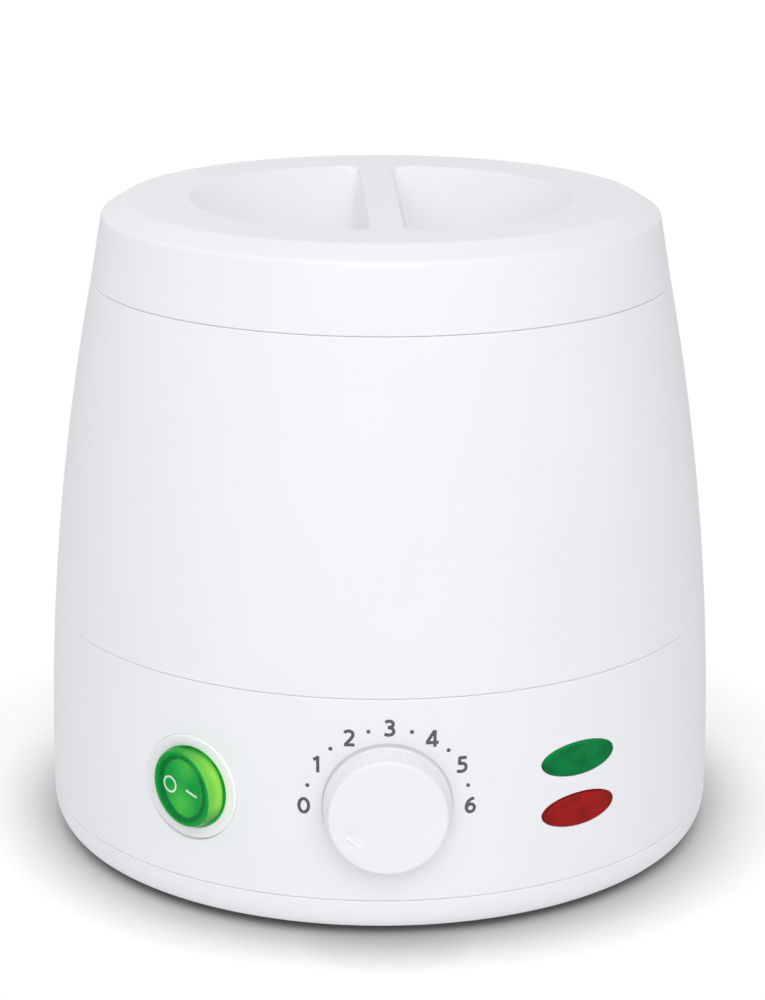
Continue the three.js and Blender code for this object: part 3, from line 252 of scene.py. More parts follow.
def prism(outline, low, high):
    """A closed prism on an outline of (x, y)."""
    n = len(outline)
    verts = [(x, y, low) for x, y in outline] + [(x, y, high) for x, y in outline]
    bottom, top = list(range(n)), list(range(n, 2 * n))
    return verts, [bottom[::-1], top, *bridge(bottom, top)]


def tube(radius, bore, low, high):
    return revolve([(bore, low), (radius, low), (radius, high), (bore, high)], 40)


TO_FRONT = Matrix.Rotation(math.pi / 2, 4, "X")  # turns +Z to -Y


def turned(degrees):
    return Matrix.Rotation(math.radians(degrees), 4, "Z")


def out_of_side(azimuth, height):
    """Sets +Z to point out of the body at an azimuth and a height."""
    return turned(azimuth) @ Matrix.Translation((0, 0, height)) @ TO_FRONT


def moved(shape, matrix):
    verts, faces = shape
    return [tuple(matrix @ Vector(v)) for v in verts], faces


def outwards(shape, azimuth, height):
    return moved(shape, out_of_side(azimuth, height))


def upright(shape, azimuth, orbit):
    """A shape along +Z, stood at an azimuth and a distance from the axis."""
    return moved(shape, turned(azimuth) @ Matrix.Translation((0, -orbit, 0)))


def merged(*shapes):
    verts, faces = [], []
    for v, f in shapes:
        start = len(verts)
        verts += list(v)
        faces += [[i + start for i in face] for face in f]
    return verts, faces


# ---- meshes and objects


def linked(name, data):
    """A new object in the scene."""
    obj = bpy.data.objects.new(name, data)
    bpy.context.scene.collection.objects.link(obj)
    return obj


def new_mesh(name, shape):
    """A mesh in metres from a shape in millimetres."""
    verts, faces = shape
    mesh = bpy.data.meshes.new(name)
    mesh.from_pydata([(x * MM, y * MM, z * MM) for x, y, z in verts], [], faces)
    return mesh


@contextmanager
def editing(mesh):
    """The mesh as a bmesh, written back at the end."""
    bm = bmesh.new()
    bm.from_mesh(mesh)
    yield bm
    bm.to_mesh(mesh)
    bm.free()


def raw_object(name, shape):
    mesh = new_mesh(name, shape)
    with editing(mesh) as bm:
        bmesh.ops.recalc_face_normals(bm, faces=bm.faces)
    return linked(name, mesh)


def lathe(name, points, segments=192, closed=False, steps=6, place=None):
    """A piece turned round Z from a profile with rounded corners."""
    shape = revolve(rounded(points, closed, steps), segments, closed)
    return raw_object(name, moved(shape, place) if place else shape)


def cut(obj, *shapes, operation="DIFFERENCE"):
    """Cuts shapes out of an object, or joins them to it, one after the other."""
    for shape in shapes:
        cutter = raw_object("cutter", shape)
        modifier = obj.modifiers.new("cut", "BOOLEAN")
        modifier.operation = operation
        modifier.solver = "EXACT"
        modifier.object = cutter
        bpy.context.view_layer.update()
        result = obj.evaluated_get(bpy.context.evaluated_depsgraph_get())
        result = bpy.data.meshes.new_from_object(result)
        obj.modifiers.clear()
        obj.data = result
        bpy.data.objects.remove(cutter)
    with editing(obj.data) as bm:  # closes the hair-thin cracks that a cut can leave
        bmesh.ops.remove_doubles(bm, verts=bm.verts, dist=0.003 * MM)
        bmesh.ops.holes_fill(bm, edges=[edge for edge in bm.edges if len(edge.link_faces) == 1])
    return obj


def absorb(obj, extra):
    """Adds another object's mesh to an object's as it is."""
    with editing(obj.data) as bm:
        bm.from_mesh(extra.data)
    bpy.data.objects.remove(extra)
    return obj


def add_shape(obj, shape):
    return absorb(obj, raw_object("extra", shape))


def soften(obj, width, segments, **settings):
    """A small bevel on the edges of more than 50 degrees."""
    bevel = obj.modifiers.new("edges", "BEVEL")
    bevel.width = width * MM
    bevel.segments = segments
    bevel.angle_limit = math.radians(50)
    for key, value in settings.items():
        setattr(bevel, key, value)


def dress(obj, body, finish, stands_for=(), angle=32, weighted=True):
    """Shades a piece, gives it its finishes, and sets it on its body."""
    obj.data.materials.clear()
    for material in finish if isinstance(finish, list) else [finish]:
        obj.data.materials.append(material)
    obj.data.shade_smooth()
    obj.data.set_sharp_from_angle(angle=math.radians(angle))
    if weighted:
        modifier = obj.modifiers.new("normals", "WEIGHTED_NORMAL")
        modifier.keep_sharp = True
    if stands_for:
        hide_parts(*stands_for)
    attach(obj, body)
    return obj


# ---- shader helpers


def feed(tree, target, inputs):
    """Links a node's inputs to sockets, or sets them to values."""
    for key, value in inputs.items():
        if isinstance(value, bpy.types.NodeSocket):
            tree.links.new(value, target.inputs[key])
        else:
            target.inputs[key].default_value = value
    return target


def node(tree, kind, *inputs, named=None, **settings):
    made = tree.nodes.new(kind)
    for key, value in settings.items():
        setattr(made, key, value)
    return feed(tree, made, {**dict(enumerate(inputs)), **(named or {})})


def new_material(name):
    material = bpy.data.materials.new(name)
    material.use_nodes = True
    tree = material.node_tree
    return material, tree, tree.nodes["Principled BSDF"]


def coordinates(tree):
    return node(tree, "ShaderNodeTexCoord").outputs["Object"]


def own_place(tree, placing):
    """Coordinates in millimetres in the frame that a matrix places."""
    inverse = placing.inverted()
    return node(tree, "ShaderNodeMapping", coordinates(tree), vector_type="POINT", named={
        "Rotation": inverse.to_euler(), "Scale": (1000, 1000, 1000),
        "Location": inverse.to_translation()}).outputs[0]


def axes(tree, vector):
    return node(tree, "ShaderNodeSeparateXYZ", vector).outputs


def vector_of(tree, *values):
    return node(tree, "ShaderNodeCombineXYZ", *values).outputs[0]


def vector_math(tree, operation, *values, output=0):
    return node(tree, "ShaderNodeVectorMath", *values, operation=operation).outputs[output]


def length_of(tree, vector):
    return vector_math(tree, "LENGTH", vector, output="Value")


def maths(tree, operation, *values):
    return node(tree, "ShaderNodeMath", *values, operation=operation).outputs[0]


def product(tree, first, second):
    return maths(tree, "MULTIPLY", first, second)


def noise(tree, scale, detail=3.0, place=None, rough=0.55):
    return node(tree, "ShaderNodeTexNoise", named={
        "Vector": place or coordinates(tree), "Scale": scale, "Detail": detail,
        "Roughness": rough}).outputs["Fac"]


def ranged(tree, value, low, high, start=0.3, end=0.7):
    """Low to high as the value goes from start to end."""
    return node(tree, "ShaderNodeMapRange", named={
        "Value": value, "From Min": start, "From Max": end, "To Min": low, "To Max": high,
    }).outputs["Result"]


def mixed(tree, factor, first, second):
    """A colour between two colours or sockets."""
    first, second = [(*c, 1.0) if isinstance(c, tuple) else c for c in (first, second)]
    return node(tree, "ShaderNodeMix", data_type="RGBA",
                named={"Factor": factor, 6: first, 7: second}).outputs[2]


def bumped(tree, shader, height, strength, distance, before=None):
    inputs = {"Height": height, "Strength": strength, "Distance": distance}
    if before is not None:
        inputs["Normal"] = before
    normal = node(tree, "ShaderNodeBump", named=inputs).outputs["Normal"]
    tree.links.new(normal, shader.inputs["Normal"])
    return normal


def blend(tree, share, first, second, output):
    mix = node(tree, "ShaderNodeMixShader", share, first.outputs[0], second.outputs[0])
    node(tree, output, mix.outputs[0])


def scaled(colour, factor):
    return tuple(min(c * factor, 1.0) for c in colour)


# ---- materials


def moulded(name, colour, roughness, grain=2200, depth=0.00001, spread=0.012, bump=0.25, **more):
    """Moulded plastic or rubber: a fine spark-eroded grain over a slow drift of tone."""
    material, tree, shader = new_material(name)
    drift = ranged(tree, noise(tree, 22.0, 2.0), 0.0, 1.0)
    feed(tree, shader, {
        "Base Color": mixed(tree, drift, scaled(colour, 1 - spread), scaled(colour, 1 + spread)),
        "Roughness": ranged(tree, noise(tree, 140.0), roughness - 0.03, roughness + 0.03),
        **{key.replace("_", " "): value for key, value in more.items()}})
    bumped(tree, shader, noise(tree, grain, 4.0), bump, depth)
    return material


def turned_metal(name, colour, roughness, rings=2600.0):
    """Spun metal: fine rings round the axis over a slow drift of tone."""
    material, tree, shader = new_material(name)
    x, y, z = axes(tree, coordinates(tree))
    orbit = length_of(tree, vector_of(tree, x, y))
    groove = noise(tree, rings, 3.0, vector_of(tree, orbit, 0.0, z))
    cloud = ranged(tree, noise(tree, 45.0), 0.0, 1.0)
    feed(tree, shader, {
        "Base Color": mixed(tree, cloud, scaled(colour, 0.9), colour),
        "Roughness": ranged(tree, groove, roughness - 0.07, roughness + 0.09),
        "Metallic": 0.92, "Anisotropic": 0.35})
    bumped(tree, shader, groove, 0.35, 0.00001)
    return material


def plated(name, colour, roughness, cell=900.0):
    """Plated or drawn metal with a faint crystalline tone and small dents."""
    material, tree, shader = new_material(name)
    cells = node(tree, "ShaderNodeTexVoronoi", named={
        "Vector": coordinates(tree), "Scale": cell}).outputs["Distance"]
    tone = ranged(tree, cells, 0.0, 1.0, 0.0, 0.8)
    feed(tree, shader, {
        "Base Color": mixed(tree, tone, scaled(colour, 0.84), colour),
        "Roughness": ranged(tree, noise(tree, 400.0), roughness - 0.06, roughness + 0.08),
        "Metallic": 0.9})
    bumped(tree, shader, noise(tree, 1500.0), 0.2, 0.00001)
    return material


TINTED_MIRROR = 0.06  # tinted plastic hardly mirrors


def lens_material(name, deep, light, painted_edge_tone, height):
    """Tinted translucent plastic: mottled, darker at its ends, with a painted band along its upper
    left edge, where the light falls (lighter on the green lens, deeper on the red), and a thin
    painted glint line inside it.
    """
    material, tree, shader = new_material(name)
    local = own_place(tree, out_of_side(LAMP_AZ, height))
    unit = vector_math(tree, "MULTIPLY", local, (2 / LAMP_L, 2 / LAMP_H, 0.0))
    across, rise, _ = axes(tree, unit)
    off = length_of(tree, unit)
    clouds = ranged(tree, noise(tree, 0.28, 2.0, local), 0.0, 1.0, 0.42, 0.58)
    at_ends = ranged(tree, maths(tree, "ABSOLUTE", across), 0.0, 1.0, 0.6, 1.0)
    body = mixed(tree, at_ends, mixed(tree, clouds, deep, light), scaled(deep, 0.82))
    # Painted highlight: a thin glint line and a band along the upper left edge, where light falls
    # on the lens.
    upper_left = product(tree, ranged(tree, rise, 0.0, 1.0, -0.1, 0.45),
                         ranged(tree, across, 1.0, 0.0, 0.45, 0.9))
    painted_glint_line = product(tree, ranged(tree, off, 0.0, 1.0, 0.8, 0.84),
                   ranged(tree, off, 1.0, 0.0, 0.85, 0.89))
    with_painted_glint = mixed(tree, product(tree, painted_glint_line, upper_left), body, tuple(c + 0.008 for c in light))
    edge = product(tree, ranged(tree, off, 0.0, 1.0, 0.86, 0.93), upper_left)
    feed(tree, shader, {
        "Base Color": mixed(tree, edge, with_painted_glint, painted_edge_tone),
        "Roughness": ranged(tree, noise(tree, 0.25, 2.0, local), 0.12, 0.2),
        "Specular IOR Level": TINTED_MIRROR})
    bumped(tree, shader, noise(tree, 0.7, 2.0, local), 0.12, 0.00002)
    return material


def woven(name, colour):
    """Loose glass fibre: long soft strands in two scales."""
    material, tree, shader = new_material(name)
    place = coordinates(tree)
    stretch = node(tree, "ShaderNodeMapping", place, named={"Scale": (1.0, 1.0, 0.25)}).outputs[0]
    clumps = noise(tree, 90.0, 3.0, place)
    feed(tree, shader, {
        "Base Color": mixed(tree, ranged(tree, clumps, 0.0, 1.0), scaled(colour, 0.8), colour),
        "Roughness": 0.95, "Sheen Weight": 0.25})
    first = bumped(tree, shader, clumps, 0.5, 0.0006)
    bumped(tree, shader, noise(tree, 1800.0, 6.0, stretch, 0.7), 0.6, 0.0002, first)
    return material


WHITE = (0.852, 0.86, 0.885)
shell = moulded("shell_satin", WHITE, 0.40)
lid_finish = moulded("lid_satin", WHITE, 0.42, grain=2400)
knob_finish = moulded("knob_satin", WHITE, 0.36, grain=2600)
# Painted highlight: the pointer ridge is a lighter white than the knob, besides being glossier.
ridge_painted_highlight = moulded("knob_ridge_polish_painted_highlight", (0.93, 0.935, 0.945), 0.2, grain=2600, bump=0.05)
inner = moulded("inner_plastic", (0.66, 0.66, 0.63), 0.58, grain=1500)
bezel_frost = moulded("bezel_frost", (0.80, 0.808, 0.814), 0.34, grain=2600, spread=0.015)
rubber = moulded("foot_rubber", (0.075, 0.075, 0.08), 0.82, 1100, 0.00004, 0.08)
silicone = moulded("gasket_silicone", (0.66, 0.63, 0.57), 0.72, 900, 0.00003, 0.03)
ceramic = moulded("ceramic", (0.5, 0.42, 0.3), 0.66, 1300, 0.00002, 0.05)
phenolic = moulded("dark_phenolic", (0.03, 0.03, 0.034), 0.5, grain=1600, spread=0.1)
sleeve = moulded("lead_sleeve", (0.27, 0.05, 0.03), 0.58, 1700, 0.00006, 0.1)
# Painted shadow: a grey line round the knob stands for the shade in the gap at its seat.
seat_painted_shadow_finish = moulded("seat_painted_shadow_finish", (0.7, 0.7, 0.725), 0.5, grain=2600, spread=0.03)
ink = moulded("dial_ink", (0.092, 0.092, 0.1), 0.55, grain=3000, spread=0.05)
mark_ink = moulded("mark_ink", (0.75, 0.88, 0.74), 0.35, grain=3000, spread=0.03)
aluminium = turned_metal("spun_aluminium", (0.72, 0.73, 0.74), 0.30)
well_metal = turned_metal("well_aluminium", (0.66, 0.67, 0.68), 0.36, rings=2100.0)
steel = plated("zinc_steel", (0.56, 0.57, 0.59), 0.34)
wire_steel = plated("bail_steel", (0.66, 0.66, 0.67), 0.2, cell=500.0)
brass = plated("brass", (0.62, 0.45, 0.16), 0.34, cell=700.0)
blanket = woven("glass_blanket", (0.75, 0.7, 0.56))
neon = moulded("neon_glass", (0.85, 0.78, 0.7), 0.12, grain=500, Transmission_Weight=0.6, IOR=1.47)


# ---- lid


def scoop_corner(grown):
    """The bar's side, the radius, the fillet, its centre, and the angle where both meet."""
    bar = BAR_HALF - grown
    radius = SCOOP_R + grown
    fillet = 4.5 + grown
    x = bar + fillet
    y = math.sqrt((radius - fillet) ** 2 - x**2)
    return bar, radius, fillet, x, y, math.atan2(y, x)


def scoop_edge_distance(x, y, grown):
    bar, radius, fillet, cx, cy, angle = scoop_corner(grown)
    across, along = x - cx, abs(y) - cy
    if along > 0 and math.atan2(along, across) > angle:
        return fillet - math.hypot(across, along)
    return min(x - bar, radius - math.hypot(x, y))


def scoop_depth(x, y, grown):
    """Depth of a finger scoop: a round bowl that a steep wall closes at the bar."""
    radius = SCOOP_R + grown
    share = min(max((radius - math.hypot(x, y)) / (SCOOP_BOWL + grown), 0), 1)
    bowl = (SCOOP_DEPTH + grown) * (1 - (1 - share) ** 2.7)
    inside = max(scoop_edge_distance(x, y, grown), 0)
    wall = 5.5 * (math.hypot(inside, 0.7) - 0.7)
    if min(wall, bowl) <= 1e-9:
        return 0.0
    return (wall**-5 + bowl**-5) ** -0.2


def under_scoop(x, y):
    """Height of the lid's underside below a scoop."""
    depth = max(scoop_depth(x, y, WALL), scoop_depth(x, y, 0.0) + 2.0)
    return min(LID_TOP - WALL, LID_TOP - depth)


def scoop_outline(grown):
    """The D outline, evenly dense, anticlockwise from the bar's middle."""
    bar, radius, fillet, x, y, angle = scoop_corner(grown)
    return [
        *[(bar, y * (1 - 2 * i / 46)) for i in range(1, 46)],
        *arc(fillet, math.pi, 2 * math.pi - angle, 14, x, -y),
        *arc(radius, -angle, angle, 90)[1:-1],
        *arc(fillet, angle, math.pi, 14, x, y),
    ]


SCOOP_SHARES = [0.06, 0.14, 0.22, 0.3, 0.38, 0.45, 0.51, 0.56, 0.6, 0.64, 0.67, 0.7, 0.725, 0.75,
                0.77, 0.79, 0.81, 0.83, 0.848, 0.864, 0.88, 0.895, 0.91, 0.924, 0.938, 0.95,
                0.961, 0.971, 0.98, 0.987, 0.993, 0.997]


def scoop_patch(bm, edge, hand, outline, height):
    """Rings from the middle of a scoop out to vertices that already lie on its edge."""
    middle = Vector((SCOOP_R * 0.4, 0))

    def vertex(share, point):
        x, y = middle.lerp(Vector(point), share)
        return bm.verts.new((hand * x * MM, (y - SCOOP_FORWARD) * MM, height(x, y) * MM))

    centre = vertex(0, outline[0])
    rings = [[vertex(share, point) for point in outline] for share in SCOOP_SHARES] + [edge]
    for face in fan(centre, rings[0]):
        bm.faces.new(face)
    for a, b in zip(rings, rings[1:]):
        for face in bridge(a, b):
            bm.faces.new(face)


def plate_with_scoops(bm, outer, grown, z, height):
    """The flat of the lid between a ring of vertices and the two scoops, and the scoops."""
    edges = [bm.edges.get(pair) or bm.edges.new(pair) for pair in zip(outer, outer[1:] + outer[:1])]
    outline = scoop_outline(grown)
    for hand in (1, -1):
        ring = [bm.verts.new((hand * x * MM, (y - SCOOP_FORWARD) * MM, z * MM)) for x, y in outline]
        edges += [bm.edges.new(pair) for pair in zip(ring, ring[1:] + ring[:1])]
        scoop_patch(bm, ring, hand, outline, height)
    bmesh.ops.triangle_fill(bm, use_beauty=True, use_dissolve=False, edges=edges)


def lid_piece():
    """The lid, its outside and its hollow underside, as one closed body."""
    segments = 256
    foot, shoulder = LID_SEAT + GAP, LID_TOP - BEVEL_DROP
    verts, faces = revolve(rounded([
        (LID_FLAT - 3.0, LID_TOP), (LID_FLAT, LID_TOP, 1.4), (LID_BEVEL, shoulder, 1.8),
        (side(foot), foot, EDGE), (RIB_OUTER, foot, 0.1), (RIB_OUTER, foot - 3.5, 0.3),
        (RIB_INNER, foot - 3.5, 0.3), (RIB_INNER, foot),
        (LID_BEVEL - WALL, shoulder - WALL / 2, 1.0), (LID_FLAT - WALL / 2, LID_TOP - WALL, 1.0),
        (LID_FLAT - 4.5, LID_TOP - WALL),
    ], closed=False, steps=7), segments, closed=False)
    mesh = new_mesh("lid_piece", (verts, faces))
    with editing(mesh) as bm:
        bm.verts.ensure_lookup_table()
        top = bm.verts[:segments]
        roof = bm.verts[len(verts) - segments:]
        plate_with_scoops(bm, top, 0.0, LID_TOP, lambda x, y: LID_TOP - scoop_depth(x, y, 0.0))
        plate_with_scoops(bm, roof, WALL, LID_TOP - WALL, under_scoop)
        bmesh.ops.recalc_face_normals(bm, faces=bm.faces)
        bm.transform(Matrix.Rotation(LID_TURN, 4, "Z"))
    return linked("lid_piece", mesh)


dress(lid_piece(), "lid", lid_finish, ["lid_shell"], angle=40)


# ---- housings


def add_boss(obj, azimuth, orbit, low, high, rib_low, rib_reach):
    """A screw boss and the rib that ties it to the wall."""
    inner_end = -orbit - 3.4
    rib = [(-1.2, -rib_reach), (1.2, -rib_reach), (1.2, inner_end), (-1.2, inner_end)]
    add_shape(obj, upright(tube(BOSS_R, BORE_R, low, high), azimuth, orbit))
    add_shape(obj, moved(prism(rib, rib_low, high), turned(azimuth)))


def upper_housing_piece():
    bottom, top = BASE_TOP + GAP, LID_SEAT - GAP
    deck_edge, deck_bottom = side(DECK_TOP) - WALL, DECK_TOP - 2.2
    obj = lathe("upper_housing_piece", [
        (side(bottom), bottom, EDGE), *side_points(bottom + 0.6, top - 0.6, 0, 24),
        (side(top), top, EDGE), (side(top) - WALL, top, 0.3), (deck_edge, DECK_TOP, 0.8),
        (DECK_HOLE, DECK_TOP, 0.3), (DECK_HOLE, deck_bottom, 0.3),
        (deck_edge - 0.01, deck_bottom, 0.5), *side_points(DECK_TOP - 4, bottom + 2, WALL, 8),
        (side(bottom) - WALL, bottom),
    ], 256, closed=True)
    low, high = LUG_TOP + REST, LUG_TOP + 26.9
    for azimuth in (*CORNER_AZIMUTHS, 90, 270):
        start = low if azimuth in CORNER_AZIMUTHS else WELL_FLOOR - 1.5
        add_boss(obj, azimuth, BOSS_ORBIT, start, high, BASE_TOP + 5.5, side(80) - 1.5)
    return obj


def base_housing_piece():
    bottom, top = COVER_TOP + GAP, BASE_TOP - GAP
    lip = BASE_TOP + 4.4
    lip_outer = side(lip) - WALL - REST
    lip_inner = lip_outer - LIP
    obj = lathe("base_housing_piece", [
        (side(bottom), bottom, EDGE), *side_points(bottom + 0.6, top - 0.6, 0, 20),
        (side(top), top, EDGE), (lip_outer + 0.05, top), (lip_outer, lip, 0.3),
        (lip_inner, lip, 0.3), (lip_inner, BASE_TOP - 5.6), (side(44.5) - WALL, BASE_TOP - 8.6),
        *side_points(42, bottom + 2, WALL, 8), (side(bottom) - WALL, bottom),
    ], 288, closed=True)

    def seat(azimuth, height, radius, spot, pad, hole):
        """Thickens the wall, cuts a flat seat into it, and the hole in the seat."""
        def disc(size, low, high, segments):
            profile = [(0, low), (size, low), (size, high), (0, high)]
            return outwards(revolve(profile, segments), azimuth, height)

        cut(obj, disc(radius - 0.15, pad, spot + 1.0, 96), operation="UNION")
        cut(obj, disc(radius, spot, spot + 12, 128), disc(hole, pad - 3, spot + 6, 96))

    seat(0, CONTROL, 9.4, CONTROL_SIDE - 0.75, CONTROL_SIDE - 4.85, 5.2)
    seat(180, GLAND_Z, 9.4, GLAND_SPOT, GLAND_SPOT - 4.2, 6.2)
    seat(SWITCH_AZ, SWITCH_Z, BEZEL_R + 0.05, SWITCH_SEAT, SWITCH_SEAT - 2.1, 10.2)
    window = ellipse((LAMP_L + 0.2) / 2, (LAMP_H + 0.2) / 2, 128)
    for height in (UPPER_LAMP, LOWER_LAMP):
        cut(obj, outwards(prism(window, LAMP_BACK, side(height) + 3), LAMP_AZ, height))
    low, high = PLATE_TOP + REST, PLATE_TOP + 20.1
    for azimuth in SCREW_AZIMUTHS:
        add_boss(obj, azimuth, SCREW_ORBIT, low, high, 12.4, side(20) - 1.5)
    near, far = 5.5 - BOSS_ORBIT, 1.2 - side(48)
    plate = [(-5.5, far), (5.5, far), (5.5, near), (-5.5, near)]
    for azimuth in CORNER_AZIMUTHS:
        lug = raw_object("lug", moved(prism(plate, LUG_TOP - 2.5, LUG_TOP), turned(azimuth)))
        bore = prism(ring_of(BORE_R, 24), LUG_TOP - 4, LUG_TOP + 2)
        absorb(obj, cut(lug, upright(bore, azimuth, BOSS_ORBIT)))
    peg_orbit = (LAMP_PITCH + LAMP_H) / 2 + 6.4
    for height in (LAMP_Z - peg_orbit, LAMP_Z + peg_orbit):
        peg = prism(ring_of(2.0, 32), LAMP_BACK - 4.5, side(height) - 1.4)
        add_shape(obj, outwards(peg, LAMP_AZ, height))
    return obj


def bottom_cover_piece():
    rim = COVER_TOP - GAP
    lip_outer = side(rim) - WALL - REST
    lip_inner = lip_outer - LIP
    middle, drop, inset = PLATE_BOTTOM + 6.5, 6.5, 3.6
    corner = [(side(middle) - inset * (1 - math.cos(a)), middle - drop * math.sin(a))
              for a in (math.pi / 2 * (1 - i / 16) for i in range(17))]
    obj = lathe("bottom_cover_piece", [
        (0, PLATE_BOTTOM), *corner, (side(rim), rim, 0.18), (lip_outer, rim),
        (lip_outer, COVER_TOP + 3, 0.3), (lip_inner, COVER_TOP + 3, 0.3),
        (lip_inner, PLATE_TOP + 2.1, 0.8), (lip_inner - 2.1, PLATE_TOP), (0, PLATE_TOP),
    ], 256)

    def holes(radius, count, high, orbit, azimuths):
        return merged(*[upright(prism(ring_of(radius, count), -2, high), azimuth, orbit)
                        for azimuth in azimuths])

    vents = [prism(slot_outline(38, 3, 8.0 * (i - 2)), -2, PLATE_TOP + 2) for i in range(5)]
    cut(obj, merged(*vents),
        holes(7.15, 64, PLATE_BOTTOM + 1.1, FOOT_ORBIT, CORNER_AZIMUTHS),
        holes(3.4, 40, PLATE_BOTTOM + 1.2, SCREW_ORBIT, SCREW_AZIMUTHS),
        holes(BORE_R, 24, PLATE_TOP + 2, SCREW_ORBIT, SCREW_AZIMUTHS))
    post = tube(BOSS_R, BORE_R, PLATE_TOP - 0.2, PLATE_TOP + 2.4)
    return add_shape(obj, upright(post, 180, POST_ORBIT))


dress(upper_housing_piece(), "housing", shell, ["upper_housing"])
dress(base_housing_piece(), "housing", shell, ["base_housing"])
dress(bottom_cover_piece(), "housing", shell, ["bottom_cover"])


# ---- knob

FACE_SHARES = [k / 100 for k in (*range(3, 37, 3), *range(40, 61, 4), 65, 70, 76, 83, 91)]


def dimple(distance):
    """Depth of the thumb dimple at a distance from its middle."""
    radius, depth, soft = 2.45, 0.42, 0.07
    if distance > radius + 0.35:
        return 0.0
    bowl = depth * (1 - (distance / radius) ** 2)
    return 0.5 * (bowl + math.sqrt(bowl * bowl + soft * soft)) - 0.0012


def knob_piece():
    """A tapered cup with fine ribs, a rounded bright edge and a thumb dimple."""
    ribs, per = 126, 4
    segments = ribs * per
    back, face = KNOB_BACK, KNOB_FACE
    outline = rounded([
        (KNOB_FACE_R - 2.0, face), (KNOB_FACE_R, face, 0.75), (KNOB_R - 0.15, back + 0.9, 0.3),
        (KNOB_R, back + 0.75, 0.1), (KNOB_R, back, 0.15), (KNOB_R - 1.8, back, 0.15),
        (KNOB_FACE_R - 1.8, face - 1.7, 0.6), (5.4, face - 1.7, 0.5), (5.4, CONTROL_SIDE + 3.0),
        (3.3, CONTROL_SIDE + 3.0), (3.3, face - 1.0), (0, face - 1.0),
    ], closed=False, steps=8)
    outline = denser(
        outline, lambda a, b: 5 if math.dist(a, b) > 1.5 and a[0] > KNOB_FACE_R - 0.3 else 1)
    verts, faces = revolve(outline, segments, closed=False)
    low, high = back + 1.0, face - 0.62
    shaped = []
    for x, y, z in verts:
        r = math.hypot(x, y)
        if r > KNOB_FACE_R - 0.4 and low < z < high:
            turn = (math.atan2(x, -y) / (2 * math.pi) * segments) % per
            fade = min((z - low) / 0.5, (high - z) / 0.5, 1.0)
            valley = 0.5 - 0.5 * math.cos(2 * math.pi * turn / per)
            k = 1 - 0.12 * valley * fade / r
            x, y = x * k, y * k
        shaped.append((x, y, z))
    mesh = new_mesh("knob_piece", (shaped, faces))
    middle = Vector((DIMPLE_X, DIMPLE_Y))
    with editing(mesh) as bm:
        bm.verts.ensure_lookup_table()
        rim = bm.verts[:segments]

        def vertex(share, point):
            x, y = middle.lerp(Vector(point[:2]), share)
            depth = max(dimple(math.hypot(x - middle.x, y - middle.y)), 0)
            return bm.verts.new((x * MM, y * MM, (face - depth) * MM))

        rings = [[vertex(share, point) for point in shaped[:segments:per]] for share in FACE_SHARES]
        for corners in fan(vertex(0, shaped[0]), rings[0]):
            bm.faces.new(corners)
        for a, b in zip(rings, rings[1:]):
            for corners in bridge(a, b):
                bm.faces.new(corners)
        last = rings[-1]
        for i in range(len(last)):
            outer = [rim[(per * i + k) % segments] for k in range(per + 1)]
            bm.faces.new((last[i], *outer, last[(i + 1) % len(last)]))
        bmesh.ops.recalc_face_normals(bm, faces=bm.faces)
        bm.transform(Matrix.Translation((0, 0, CONTROL * MM)) @ TO_FRONT)
    return linked("knob_piece", mesh)


def knob_ridge():
    """The polished ridge of the pointer: a long low drop lying across the dimple."""
    length, thick, thin, count = 4.9, 0.5, 0.13, 14
    verts, rings = [], []
    for shrink, z in ((1.0, -0.45), (0.96, 0.06), (0.75, 0.2), (0.4, 0.28)):
        outline = [
            *arc(thick * shrink, math.pi / 2, 3 * math.pi / 2, count, thick - length / 2),
            *arc(thin * shrink, -math.pi / 2, math.pi / 2, count, length / 2 - thin)]
        rings.append(list(range(len(verts), len(verts) + len(outline))))
        verts += [(x, y, z) for x, y in outline]
    faces = [rings[0][::-1], rings[-1]]
    for low, high in zip(rings, rings[1:]):
        faces += bridge(low, high)
    place = Matrix.Translation((DIMPLE_X + 0.12, DIMPLE_Y - 1.05, KNOB_FACE - 0.15)) @ turned(-42)
    return raw_object("knob_ridge", outwards(moved((verts, faces), place), 0, CONTROL))


dress(knob_piece(), "knob", knob_finish, ["control_knob"], angle=38)
dress(knob_ridge(), "knob", ridge_painted_highlight, angle=60)


# ---- dial numbers


def on_side(u, v, proud):
    """A place on the body's front, u across and v up from the knob's axis."""
    z = CONTROL + v
    around = u / side(z)
    r = side(z) + proud
    return (r * math.sin(around) * MM, -r * math.cos(around) * MM, z * MM)


def join_neighbours(bm):
    """Flat tiles that share a side become one closed shape without walls inside."""
    bmesh.ops.remove_doubles(bm, verts=bm.verts, dist=0.001 * MM)
    walls = [face for face in bm.faces if all(len(edge.link_faces) > 2 for edge in face.edges)]
    bmesh.ops.delete(bm, geom=walls, context="FACES_ONLY")
    bmesh.ops.recalc_face_normals(bm, faces=bm.faces)


def printed(name, tiles, finish):
    """A thin print from flat tiles of (u, v), laid on the front of the body."""
    mesh = bpy.data.meshes.new(name)
    with editing(mesh) as bm:
        for corners in tiles:
            low = [bm.verts.new(on_side(u, v, -0.03)) for u, v in corners]
            high = [bm.verts.new(on_side(u, v, 0.035)) for u, v in corners]
            for face in (high, low[::-1], *bridge(low, high)):
                bm.faces.new(face)
        join_neighbours(bm)
    obj = linked(name, mesh)
    obj.data.materials.append(finish)
    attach(obj, "housing")


def pen(points, width):
    """The two sides of a pen stroke along points."""
    path = [Vector(p) for p in points]
    left, right = [], []
    for i, here in enumerate(path):
        before = (here - path[i - 1]).normalized() if i else None
        after = (path[i + 1] - here).normalized() if i + 1 < len(path) else None
        along = ((before or after) + (after or before)).normalized()
        normal = Vector((-along.y, along.x))
        turn = normal.dot(Vector((-(after or before).y, (after or before).x)))
        reach = width / 2 / max(turn, 0.6)
        left.append(tuple(here + normal * reach))
        right.append(tuple(here - normal * reach))
    return left, right


def flowing(*points):
    return [(p.x, p.y) for p in smooth_path([Vector(point) for point in points], 7)]


